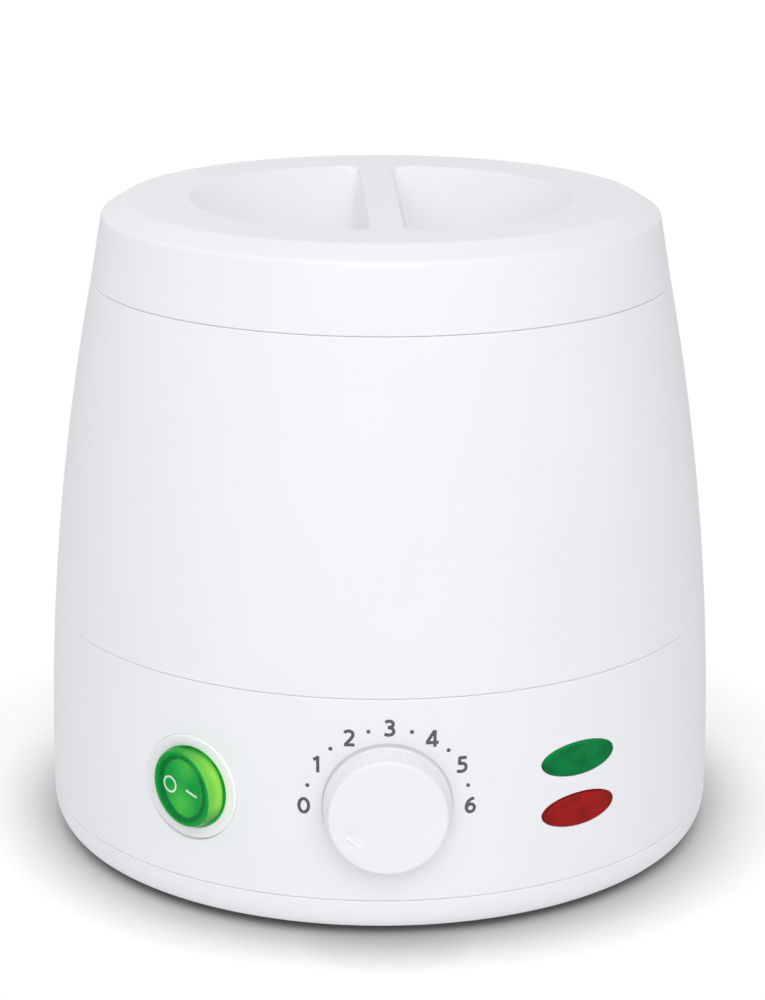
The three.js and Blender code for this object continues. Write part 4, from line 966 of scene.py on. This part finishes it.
NUMBER_HEIGHT = 3.6
STROKE = 0.19
NUMBERS = {  # pen strokes in a box one unit high
    "0": [[(0.37 + 0.285 * math.cos(math.pi * k / 20), 0.5 + 0.414 * math.sin(math.pi * k / 20))
           for k in range(a, a + 11)] for a in (0, 10, 20, 30)],
    "1": [[(0.43, 0.0), (0.43, 1.0)], [(0.45, 0.93), (0.33, 0.85), (0.17, 0.76)]],
    "2": [flowing((0.09, 0.80), (0.20, 0.885), (0.35, 0.914), (0.52, 0.86), (0.585, 0.71),
                  (0.53, 0.54), (0.37, 0.34), (0.16, 0.12)), [(0.07, 0.086), (0.68, 0.086)]],
    "3": [flowing((0.11, 0.84), (0.22, 0.898), (0.36, 0.914), (0.51, 0.86), (0.565, 0.73),
                  (0.50, 0.59), (0.26, 0.53)),
          flowing((0.26, 0.53), (0.50, 0.48), (0.60, 0.31), (0.53, 0.15), (0.36, 0.086),
                  (0.20, 0.096), (0.07, 0.155))],
    "4": [[(0.53, 0.96), (0.10, 0.30)], [(0.03, 0.262), (0.77, 0.262)],
          [(0.555, 0.0), (0.555, 1.0)]],
    "5": [[(0.17, 0.914), (0.63, 0.914)], [(0.225, 0.95), (0.195, 0.50)],
          flowing((0.19, 0.545), (0.34, 0.575), (0.50, 0.53), (0.59, 0.40), (0.58, 0.25),
                  (0.48, 0.13), (0.31, 0.086), (0.17, 0.096), (0.06, 0.14))],
    "6": [flowing((0.60, 0.905), (0.43, 0.87), (0.27, 0.76), (0.16, 0.56), (0.135, 0.36),
                  (0.20, 0.16), (0.375, 0.086), (0.55, 0.16), (0.62, 0.33), (0.555, 0.49),
                  (0.39, 0.56), (0.235, 0.49), (0.145, 0.38))],
}


def numeral(text, u0, v0):
    """A dial number in plain pen strokes, centred on a place on the front."""
    tiles = []
    for stroke in NUMBERS[text]:
        left, right = pen(stroke, STROKE)
        tiles += [[left[i], left[i + 1], right[i + 1], right[i]] for i in range(len(left) - 1)]
    xs = [x for tile in tiles for x, _ in tile]
    mid = (max(xs) + min(xs)) / 2
    printed(f"dial_number_{text}", [
        [(u0 + (x - mid) * NUMBER_HEIGHT, v0 + (y - 0.5) * NUMBER_HEIGHT) for x, y in tile]
        for tile in tiles], ink)


def dial_place(degrees, orbit):
    return orbit * math.cos(math.radians(degrees)), orbit * math.sin(math.radians(degrees))


def oval_line(x, y, a, b, stroke, count=48):
    """Tiles round an oval line whose outer half-axes are a and b."""
    within = ellipse(a - stroke, b - stroke, count, x, y)
    around = ellipse(a, b, count, x, y)
    return [[within[i - 1], around[i - 1], around[i], within[i]] for i in range(1, count)] + [
        [within[-1], around[-1], around[0], within[0]]]


# Places round the knob, as degrees and distance from its axis.
NUMBER_PLACES = [(181.3, 17.6), (149.3, 17.4), (118.3, 16.95), (88.7, 17.15), (57.7, 17.3),
                 (28.7, 17.8), (-1.8, 17.5)]
DOT_PLACES = [(166.2, 17.3), (133.8, 17.2), (103.7, 16.85), (72.8, 17.0), (43.1, 17.4),
              (12.9, 17.4)]

# Painted shadow of the gap round the knob's seat, printed on the body.
printed("knob_seat_painted_shadow", oval_line(0, 0, KNOB_R + 0.4, KNOB_R + 0.4, 0.42, 120), seat_painted_shadow_finish)
for i, place in enumerate(NUMBER_PLACES):
    numeral(str(i), *dial_place(*place))
for i, place in enumerate(DOT_PLACES):
    printed(f"dial_dot_{i}", [ring_of(0.43, 20, *dial_place(*place))], ink)


# ---- switch

ROCKER_OFF = math.radians(-11)  # as in the photograph
ROCKER_ON = ROCKER_OFF + math.radians(26)
ROCKER_PLACE = (
    turned(SWITCH_AZ) @ Matrix.Translation((0, -BEZEL_FACE, SWITCH_Z))
    @ Matrix.Rotation(ROCKER_OFF, 4, "Z") @ TO_FRONT
)

DISH_GREEN = (0.004, 0.35, 0.056)
PAINTED_GLOW_AND_GRAIN_GREEN = (0.066, 0.535, 0.068)
PAINTED_SHADE_GREEN = (0.002, 0.31, 0.048)
PAINTED_SHADE_EMERALD = (0.0, 0.165, 0.034)
RIM_PAINTED_SHADE_GREEN = (0.001, 0.33, 0.04)
RIM_PAINTED_LIGHT_GREEN = (0.004, 0.34, 0.054)
PAINTED_LIGHT_CRESCENT_GREEN = (0.035, 0.49, 0.06)
LIME = (0.31, 0.735, 0.09)
LEAF_GREEN = (0.165, 0.62, 0.078)
EDGE_LIME = (0.06, 0.49, 0.042)
FLANK_TOP_PAINTED_SHADE = (0.04, 0.36, 0.056)
FLANK_LOW_PAINTED_SHADE = (0.012, 0.27, 0.038)
WELL_PAINTED_GLOW_GREEN = (0.015, 0.36, 0.05)
# Painted light on the bezel's paler side.
BEZEL_PAINTED_LIGHT = (0.958, 0.934, 0.963)


def rocker_material():
    """Tinted clear plastic: a deep rim, a lighter dish and a lime flank, with painted light
    (glowing patches, a lit side of the rim, a bright crescent) and painted shade (dark patches, a
    dark ring on the dish's wall, the flank's top and low sides).
    """
    material, tree, shader = new_material("rocker_green")
    local = own_place(tree, ROCKER_PLACE)
    across, along, up = axes(tree, local)
    flat = vector_of(tree, across, along)
    tilted = (-math.sin(ROCKER_OFF), 0.0, math.cos(ROCKER_OFF))
    proud = vector_math(tree, "DOT_PRODUCT", local, tilted, output="Value")

    def beyond(x, y, start, end):
        far = vector_math(tree, "DISTANCE", flat, (x, y, 0), output="Value")
        return ranged(tree, far, 0.0, 1.0, start, end)

    def patch(x, y, reach, soft):
        far = vector_math(tree, "DISTANCE", flat, (x, y, 0), output="Value")
        return ranged(tree, far, 1.0, 0.0, reach - soft, reach + soft)

    # Painted light: two lighter glowing patches on the dish; painted shade: two darker patches.
    dish = DISH_GREEN
    for spot, tint in (((1.0, 5.6, 2.4, 2.6), PAINTED_GLOW_AND_GRAIN_GREEN), ((-0.8, -3.6, 3.0, 2.2), PAINTED_GLOW_AND_GRAIN_GREEN),
                       ((3.4, 1.4, 0.9, 2.0), PAINTED_SHADE_GREEN), ((-4.6, 3.2, 0.6, 1.8), PAINTED_SHADE_GREEN)):
        dish = mixed(tree, patch(*spot), dish, tint)
    # Painted light and shade: the rim is painted lighter towards the rocker's +X side, its lit
    # side.
    edge = mixed(tree, ranged(tree, across, 0.0, 1.0, -2.0, 6.0), RIM_PAINTED_SHADE_GREEN, RIM_PAINTED_LIGHT_GREEN)
    face = mixed(tree, beyond(0.35, 0.45, 6.6, 7.6), dish, edge)
    # Painted shade: a dark emerald ring on the dish's rising wall, faded near (4.2, 5.4).
    ring = product(tree, beyond(0.35, 0.45, 6.15, 6.5), patch(0.35, 0.45, 7.5, 0.3))
    gap = ranged(tree, patch(4.2, 5.4, 1.6, 1.6), 1.0, 0.15, 0.0, 1.0)
    face = mixed(tree, product(tree, ring, gap), face, PAINTED_SHADE_EMERALD)
    # Painted light: a brighter crescent on the rim's outer edge at the lower left.
    low_left = product(tree, ranged(tree, across, 1.0, 0.0, -3.2, 1.2),
                       ranged(tree, along, 1.0, 0.0, -2.4, 0.6))
    crescent = product(tree, beyond(0.75, 1.15, 8.45, 8.9), low_left)
    face = mixed(tree, crescent, face, PAINTED_LIGHT_CRESCENT_GREEN)

    flank = mixed(tree, ranged(tree, proud, 0.0, 1.0, 1.7, 3.8), LIME, LEAF_GREEN)
    flank = mixed(tree, ranged(tree, proud, 1.0, 0.0, -0.1, 0.8), flank, EDGE_LIME)
    # Painted shade: the flank is darkened towards its top side and its low end.
    flank = mixed(tree, ranged(tree, across, 1.0, 0.0, 0.3, 7.0), flank, FLANK_TOP_PAINTED_SHADE)
    flank = mixed(tree, ranged(tree, along, 1.0, 0.0, -6.0, -2.0), flank, FLANK_LOW_PAINTED_SHADE)
    below = maths(tree, "MAXIMUM", beyond(*FACE_SHIFT, ROCKER_R - 0.2, ROCKER_R - 0.03),
                  ranged(tree, up, 1.0, 0.0, DISH_Z - 0.3, DISH_Z - 0.1))
    aside = maths(tree, "MAXIMUM", below, beyond(0, 0, ROCKER_R - 0.18, ROCKER_R - 0.05))
    grain = ranged(tree, noise(tree, 0.9, 3.0, local), 0.0, 0.12, 0.35, 0.75)
    feed(tree, shader, {
        "Base Color": mixed(tree, grain, mixed(tree, aside, face, flank), PAINTED_GLOW_AND_GRAIN_GREEN),
        "Roughness": ranged(tree, noise(tree, 0.5, 2.0, local), 0.1, 0.18),
        "Specular IOR Level": TINTED_MIRROR})
    bumped(tree, shader, noise(tree, 0.7, 2.0, local), 0.1, 0.00003)
    return material


def bezel_painted_light(material):
    """Painted light: frosted plastic is painted paler towards the side where light passes through
    it.
    """
    tree = material.node_tree
    colour = tree.nodes["Principled BSDF"].inputs["Base Color"]
    across = axes(tree, own_place(tree, ROCKER_PLACE))[0]
    painted_light = ranged(tree, across, 0.0, 1.0, -9.0, 3.0)
    tree.links.new(mixed(tree, painted_light, colour.links[0].from_socket, BEZEL_PAINTED_LIGHT), colour)


bezel_painted_light(bezel_frost)
rocker_green = rocker_material()
# Painted light: the wall of the rocker's well glows, though no lamp is lit there.
rocker_well_painted_glow = moulded("rocker_well_painted_glow", WELL_PAINTED_GLOW_GREEN, 0.3, grain=900,
                      Emission_Color=(*WELL_PAINTED_GLOW_GREEN, 1), Emission_Strength=0.6)


def switch_body_piece():
    back = SWITCH_SEAT - 20
    return lathe("switch_body_piece", [
        (0, back), (9.8, back, 0.5), (9.8, SWITCH_SEAT + 0.3), (BEZEL_R, SWITCH_SEAT + 0.05),
        (BEZEL_R, BEZEL_FACE, 0.4), (ROCKER_HOLE + 0.1, BEZEL_FACE - 0.1, 0.35),
        (ROCKER_HOLE, HOLE_FLOOR), (0, HOLE_FLOOR),
    ], 160, place=out_of_side(SWITCH_AZ, SWITCH_Z))


def clear_of_bezel(x, y, z):
    """Drawn in where the rocker, once tipped on, would brush the hole."""
    ahead = x * math.cos(ROCKER_ON) + z * math.sin(ROCKER_ON)
    height = z * math.cos(ROCKER_ON) - x * math.sin(ROCKER_ON)
    room = ROCKER_HOLE + max(0, height + 0.25)
    share = min(1, room / math.hypot(ahead, y)) if y or ahead else 1
    return x * share, y * share, z


def rocker_piece():
    profile = denser(rounded([
        (0, DISH_Z), (6.0, DISH_Z, 0.8), (RIM_INSIDE, RIM_Z, 0.6), (ROCKER_R, RIM_Z, 0.8),
        (ROCKER_R, -1.5, 0.3), (0, -1.5),
    ], closed=False, steps=8), lambda a, b: math.dist(a, b) / 0.5 if a[1] > -1 else 1)
    verts, faces = revolve(profile, 120, closed=False)
    leaning = []
    for x, y, z in verts:
        rise = min(max((z + 0.2) / 2.6, 0), 1)
        rise = rise * rise * (3 - 2 * rise)
        inward = (ROCKER_R - math.hypot(x, y)) / (ROCKER_R - RIM_INSIDE)
        inward = min(max(inward, 0), 1) if z > 0.5 else 0
        shift = [lean * rise + (dish - lean) * inward
                 for lean, dish in zip(FACE_SHIFT, DISH_CENTRE)]
        leaning.append(clear_of_bezel(x + shift[0], y + shift[1], z))
    keel = moved(prism([(-2, -4), (2, -4), (2, 4), (-2, 4)], -5.5, -1.5), ROCKER_PLACE)
    return add_shape(raw_object("rocker_piece", moved((leaning, faces), ROCKER_PLACE)), keel)


switch_body = dress(
    switch_body_piece(), "housing", [bezel_frost, rocker_well_painted_glow], ["switch_body"])
well_axis = turned(SWITCH_AZ).to_3x3() @ Vector((0, -1, 0))
for face in switch_body.data.polygons:
    place = face.center / MM
    deep = place.dot(well_axis)
    away = (place - well_axis * deep - Vector((0, 0, SWITCH_Z))).length
    in_well = away < ROCKER_HOLE + 0.05 and HOLE_FLOOR - 0.1 < deep < BEZEL_FACE - 0.35
    face.material_index = int(in_well)
dress(rocker_piece(), "rocker", rocker_green, ["switch_rocker"])


def rocker_mark(name, tiles):
    shapes = [prism(tile, DISH_Z - 0.03, DISH_Z + 0.04) for tile in tiles]
    obj = raw_object(name, moved(merged(*shapes), ROCKER_PLACE))
    with editing(obj.data) as bm:
        join_neighbours(bm)
    dress(obj, "rocker", mark_ink, weighted=False)


rocker_mark("mark_off", oval_line(-4.07, 0.11, 1.99, 1.88, 0.41))
dash_place = Matrix.Translation((2.55, -0.33, 0)) @ Matrix.Rotation(math.atan2(-0.78, 3.33), 4, "Z")
dash = [(dash_place @ Vector((*point, 0))).xy for point in slot_outline(3.42, 0.44, steps=6)]
rocker_mark("mark_on", [dash])


# ---- lamps


def lens_piece(name, height):
    """A flush oval window that follows the body's side, with a flange behind the wall."""
    outline = ellipse((LAMP_L - 0.04) / 2, (LAMP_H - 0.04) / 2, 96)
    shares = [0.12, 0.24, 0.36, 0.48, 0.6, 0.7, 0.8, 0.88, 0.94, 0.97, 0.985, 1.0]

    def front(x, y, inset=0.0):
        return math.sqrt((side(height + y) + 0.08 - inset) ** 2 - x * x)

    verts = [(0, 0, front(0, 0))]
    for share in shares:
        edge = max(0.0, (share - 0.94) / 0.06)
        inset = 0.16 * (1 - math.sqrt(max(0.0, 1 - edge * edge)))
        verts += [(x * share, y * share, front(x * share, y * share, inset)) for x, y in outline]
    for grown, depth in ((0.0, 3.2), (1.2, 3.2), (1.2, 6.0)):
        for x, y in outline:
            k = 1 + grown / math.hypot(x, y)
            verts.append((x * k, y * k, front(x * k, 0) - depth))
    n = len(outline)
    rows = [list(range(start, start + n)) for start in range(1, len(verts), n)]
    faces = [*fan(0, rows[0]), rows[-1][::-1]]
    for a, b in zip(rows, rows[1:]):
        faces += bridge(a, b)
    return raw_object(name, outwards((verts, faces), LAMP_AZ, height))


# The third colour of each lens is its painted edge band, where light falls on its upper left.
green_glass = lens_material("lens_green", (0.003, 0.15, 0.045), (0.004, 0.205, 0.052),
                            (0.003, 0.27, 0.062), UPPER_LAMP)
red_glass = lens_material("lens_red", (0.25, 0.011, 0.012), (0.355, 0.012, 0.012),
                          (0.25, 0.003, 0.005), LOWER_LAMP)
for hue, height, glass in (("green", UPPER_LAMP, green_glass), ("red", LOWER_LAMP, red_glass)):
    dress(lens_piece(f"{hue}_lens_piece", height), "housing", glass, [f"{hue}_lens"])


# ---- pot, well and gasket


def pot_piece():
    rim_middle = (RIM_BOTTOM + RIM_TOP) / 2
    floor = POT_BOTTOM + 1.2
    profile = rounded([
        (0, POT_BOTTOM), (POT_BOTTOM_R, POT_BOTTOM, 3.2), (POT_TOP_R, RIM_BOTTOM, 0.4),
        (RIM_R + 0.1, RIM_BOTTOM, 0.5), (RIM_R + 0.6, rim_middle, 0.9), (RIM_R + 0.1, RIM_TOP, 0.5),
        (POT_TOP_R, RIM_TOP, 0.6), (POT_TOP_R - 1.2, RIM_TOP - 1.2, 0.6),
        (POT_BOTTOM_R - 1.2, floor, 3.0), (0, floor),
    ], closed=False, steps=8)
    profile = denser(profile, lambda a, b: math.dist(a, b) / 6)
    return raw_object("pot_piece", revolve(profile, 192, closed=False))


def well_piece():
    bottom = WELL_FLOOR - 1.5
    return lathe("well_piece", [
        (0, bottom), (WELL_OUTER, bottom, 5.0), (WELL_OUTER, FLANGE_BOTTOM, 0.5),
        (FLANGE_R, FLANGE_BOTTOM, 0.2), (FLANGE_R, FLANGE_TOP, 0.4), (WELL_BORE, FLANGE_TOP, 0.7),
        (WELL_BORE, WELL_FLOOR, 3.5), (0, WELL_FLOOR),
    ], steps=8)


def gasket_piece():
    low, high = DECK_TOP + REST, DECK_TOP + 1.8
    inside, outside = DECK_HOLE + 0.5, FLANGE_R - 0.5
    return lathe("gasket_piece", [
        (inside, low, 0.3), (outside, low, 0.4), (outside, high, 0.4), (inside, high, 0.3),
    ], closed=True)


def ear_piece(name, hand):
    """A steel ear on the rim, rounded on top, with its hole."""
    outline = [(-5, EAR_BOTTOM), (5, EAR_BOTTOM), *arc(5, 0, math.pi, 32, 0, BAIL_Z - 2.5)]
    obj = raw_object(name, prism(outline, -0.7, 0.7))
    cut(obj, prism([(x, y + BAIL_Z) for x, y in ring_of(1.9, 40)], -2, 2))
    obj.data.transform(Matrix.Translation((hand * EAR_PLACE * MM, 0, 0)) @ turned(90) @ TO_FRONT)
    soften(obj, 0.18, 3)
    return obj


def rod(name, path, radius):
    """A round bar along a path, drawn in at its ends."""
    sides = 20
    verts, faces, rings = [], [], []
    last = len(path) - 1
    for i, here in enumerate(path):
        ahead = (path[min(i + 1, last)] - path[max(i - 1, 0)]).normalized()
        across = ahead.cross(Vector((0, 0, 1))).normalized()
        above = across.cross(ahead)
        grow = 0.55 if i in (0, last) else 1.0
        rings.append(list(range(len(verts), len(verts) + sides)))
        verts += [tuple(here + (across * x + above * y) * radius * grow)
                  for x, y in ring_of(1.0, sides)]
    for low, high in zip(rings, rings[1:]):
        faces += bridge(low, high)
    return raw_object(name, (verts, [*faces, rings[0][::-1], rings[-1]]))


def bail_piece():
    ends = [(EAR_PLACE - 2.4, 0, 0), (EAR_PLACE, 0, 0), (BAIL_R - 1.0, 1.0, 0)]
    bow = [(BAIL_R * math.cos(a), BAIL_R * math.sin(a), 0)
           for a in map(math.radians, (8, 20, 35, 50, 65, 80, 90))]
    half = [Vector(point) for point in ends + bow]
    other = [Vector((-p.x, p.y, p.z)) for p in half[:-1]][::-1]
    place = Matrix.Translation((0, 0, BAIL_Z)) @ Matrix.Rotation(-math.radians(1.6), 4, "X")
    return rod("bail_piece", [place @ p for p in smooth_path([*half, *other])], 1.5)


dress(pot_piece(), "pot", aluminium, ["wax_pot"])
dress(well_piece(), "housing", well_metal, ["heating_well"])
dress(gasket_piece(), "housing", silicone, ["well_gasket"])
dress(ear_piece("ear_left_piece", -1), "pot", steel, ["pot_ear_left"])
dress(ear_piece("ear_right_piece", 1), "pot", steel, ["pot_ear_right"])
dress(bail_piece(), "bail", wire_steel, ["pot_bail"])


# ---- gland, feet and screws


def gland_piece():
    """The cord gland: a stepped nose with a round bore and eight flutes."""
    seat = GLAND_SPOT + 0.1
    tail = GLAND_SPOT - 9.6
    obj = lathe("gland_piece", [
        (3.6, tail, 0.3), (5.8, tail, 0.3), (5.8, seat), (8.0, seat, 0.15), (8.0, seat + 3.8, 0.9),
        (6.9, seat + 4.6, 0.8), (5.6, GLAND_FACE, 0.6), (3.6, GLAND_FACE, 0.6),
    ], 96, closed=True, place=out_of_side(180, GLAND_Z))
    flute = prism(ring_of(0.9, 20, 8.35, 0), seat + 0.5, seat + 3.4)
    flutes = [moved(flute, turned(45 * i)) for i in range(8)]
    return cut(obj, merged(*[outwards(one, 180, GLAND_Z) for one in flutes]))


def foot_piece(name, azimuth):
    profile = rounded([
        (0, 0.0), (1.6, 0.0), (1.9, 0.25, 0.1), (2.7, 0.25, 0.1), (3.0, 0.0), (6.6, 0, 0.3),
        (7.0, 0.6, 0.2), (7.0, 2.3), (0, 2.3),
    ], closed=False)
    return raw_object(name, upright(revolve(profile, 72, closed=False), azimuth, FOOT_ORBIT))


def screw_piece(name, azimuth, orbit, head_top, tip):
    """A pan-head screw, head down, with a cross recess and a threaded shank."""
    low = head_top - 1.6
    profile = [(0, low), *rounded([
        (0, low), (2.4, low, 0.8), (3.1, low + 0.9, 0.5), (3.1, head_top, 0.1), (1.5, head_top),
    ], closed=False)[1:]]
    z, pitch = head_top + 0.6, 0.9
    while z < tip - 1.8:
        profile += [(1.25, z), (1.5, z + 0.25), (1.5, z + 0.4), (1.25, z + 0.65)]
        z += pitch
    profile += [(1.1, tip - 1.2), (0, tip)]
    obj = raw_object(name, upright(revolve(profile, 40, closed=False), azimuth, orbit))
    blade = prism([(-1.7, -0.32), (1.7, -0.32), (1.7, 0.32), (-1.7, 0.32)], low - 0.5, low + 0.9)
    return cut(obj, *[upright(moved(blade, turned(turn)), azimuth, orbit) for turn in (20, 110)])


dress(gland_piece(), "housing", inner, ["cord_gland"])
for corner, azimuth in zip(CORNERS, CORNER_AZIMUTHS):
    name = f"rubber_foot_{corner}"
    dress(foot_piece(f"{name}_piece", azimuth), "housing", rubber, [name])
for corner, azimuth in zip(CORNERS, SCREW_AZIMUTHS):
    name = f"cover_screw_{corner}"
    screw = screw_piece(f"{name}_piece", azimuth, SCREW_ORBIT, 2.4, 15.6)
    dress(screw, "housing", steel, [name])


# ---- CAD pieces that stay, by how their names start

KEPT = (
    (sleeve, ("lead_",)),
    (steel, ("band_", "bulb_clip", "housing_screw", "strap_screw", "terminal_block_screw",
             "thermostat_body", "thermostat_shaft", "well_strap")),
    (brass, ("capillary_tube", "sensor_bulb", "switch_blade", "thermostat_nut")),
    (inner, ("gland_nut", "lamp_holder")),
    (blanket, ("insulation_blanket",)),
    (neon, ("neon_bulb",)),
    (ceramic, ("terminal_block",)),
    (phenolic, ("thermal_cutout",)),
)
for name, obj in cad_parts.items():
    finish = next((finish for finish, starts in KEPT if name.startswith(starts)), None)
    if finish is None:
        continue
    obj.data.materials.clear()
    obj.data.materials.append(finish)
    if not name.startswith(("lead_", "capillary")):
        soften(obj, 0.15, 2, limit_method="ANGLE", use_clamp_overlap=True)


# ---- floor, lights and camera


def floor_material():
    """A white sweep that keeps its shadow.

    To the camera it is brighter, deepens a little with painted shade where the object closes it in,
    more so towards the front, and runs out into plain white away from the object, so that it meets
    the background.
    """
    material = bpy.data.materials.new("floor_white")
    material.use_nodes = True
    tree = material.node_tree
    tree.nodes.clear()
    place = coordinates(tree)
    seen = node(tree, "ShaderNodeLightPath").outputs["Is Camera Ray"]
    # Painted contact shadow: ambient occlusion darkens the floor's colour, more towards the front.
    closed_in = node(tree, "ShaderNodeAmbientOcclusion", samples=12, named={"Distance": 0.022})
    power = ranged(tree, axes(tree, place)[1], 1.6, 1.1, -0.085, -0.02)
    painted_contact_shade = maths(tree, "POWER", closed_in.outputs["AO"], power)
    shade = mixed(tree, painted_contact_shade, (0.2, 0.2, 0.2), (1.17, 1.17, 1.17))
    diffuse = node(tree, "ShaderNodeBsdfDiffuse", mixed(tree, seen, (0.94, 0.94, 0.94), shade))
    white = node(tree, "ShaderNodeEmission", named={"Strength": 1.0})
    away = ranged(tree, length_of(tree, place), 0.0, 1.0, 0.079, 0.13)
    blend(tree, product(tree, away, seen), diffuse, white, "ShaderNodeOutputMaterial")
    return material


FLOOR_REACH = 3000.0
corners = [(x * FLOOR_REACH, y * FLOOR_REACH, 0) for x, y in ((-1, -1), (1, -1), (1, 1), (-1, 1))]
floor = bpy.data.objects.new("floor", new_mesh("floor", (corners, [(0, 1, 2, 3)])))
floor.data.materials.append(floor_material())
bpy.context.scene.collection.objects.link(floor)


def world_light(level, zenith):
    """Pale light from all round, weaker from above; white to the camera, gloss and glass."""
    world = bpy.data.worlds.new("studio")
    bpy.context.scene.world = world
    world.use_nodes = True
    tree = world.node_tree
    tree.nodes.clear()
    place = node(tree, "ShaderNodeTexCoord").outputs["Generated"]
    light = node(tree, "ShaderNodeBackground", named={
        "Color": (0.985, 0.99, 1.0, 1),
        "Strength": ranged(tree, axes(tree, place)[2], level, zenith, 0.1, 0.9)})
    white = node(tree, "ShaderNodeBackground", named={"Color": (1, 1, 1, 1), "Strength": 1.0})
    path = node(tree, "ShaderNodeLightPath").outputs
    seen = maths(tree, "MAXIMUM", path["Is Camera Ray"], path["Is Glossy Ray"])
    seen = maths(tree, "MAXIMUM", seen, path["Is Transmission Ray"])
    blend(tree, seen, light, white, "ShaderNodeOutputWorld")


def softbox(name, place, target, width, height, level):
    """A rectangular lamp; a level of 1 makes a white surface at its target plain white."""
    light = bpy.data.lights.new(name, "AREA")
    light.shape = "RECTANGLE"
    light.size, light.size_y = width, height
    ahead = Vector(target) - Vector(place)
    light.energy = level * math.pi**2 * (ahead.length_squared + width * height / 4)
    obj = linked(name, light)
    obj.location = place
    obj.rotation_euler = ahead.to_track_quat("-Z", "Y").to_euler()


world_light(0.645, 0.46)
softbox("key", (0.1, -1.36, 1.26), (0, 0, 0.08), 1.9, 1.4, 0.455)
softbox("top_left", (-0.34, -0.05, 0.45), (0, 0, 0.14), 0.3, 0.3, 0.10)


def camera():
    """The photograph's viewpoint, fitted to its outlines."""
    pitch, yaw, roll = 0.28466953, 0.00085794, 0.00263793
    place, swing = (0, -0.58703, 0.2458), -1.25
    focal, picture_height = 2650.02, 1000  # pixels
    ahead = Vector((math.sin(yaw) * math.cos(pitch), math.cos(yaw) * math.cos(pitch),
                    -math.sin(pitch)))
    right = ahead.cross(Vector((0, 0, 1))).normalized()
    up = right.cross(ahead)
    across = right * math.cos(roll) + up * math.sin(roll)
    above = -right * math.sin(roll) + up * math.cos(roll)
    turn = Matrix((across, above, -ahead)).transposed().to_4x4()
    data = bpy.data.cameras.new("camera")
    data.sensor_width = 36
    data.lens = focal * data.sensor_width / picture_height
    data.clip_start, data.clip_end = 0.02, 30
    obj = linked("camera", data)
    obj.matrix_world = turned(swing) @ Matrix.Translation(place) @ turn
    bpy.context.scene.camera = obj


camera()
bpy.context.scene.view_settings.view_transform = "Standard"
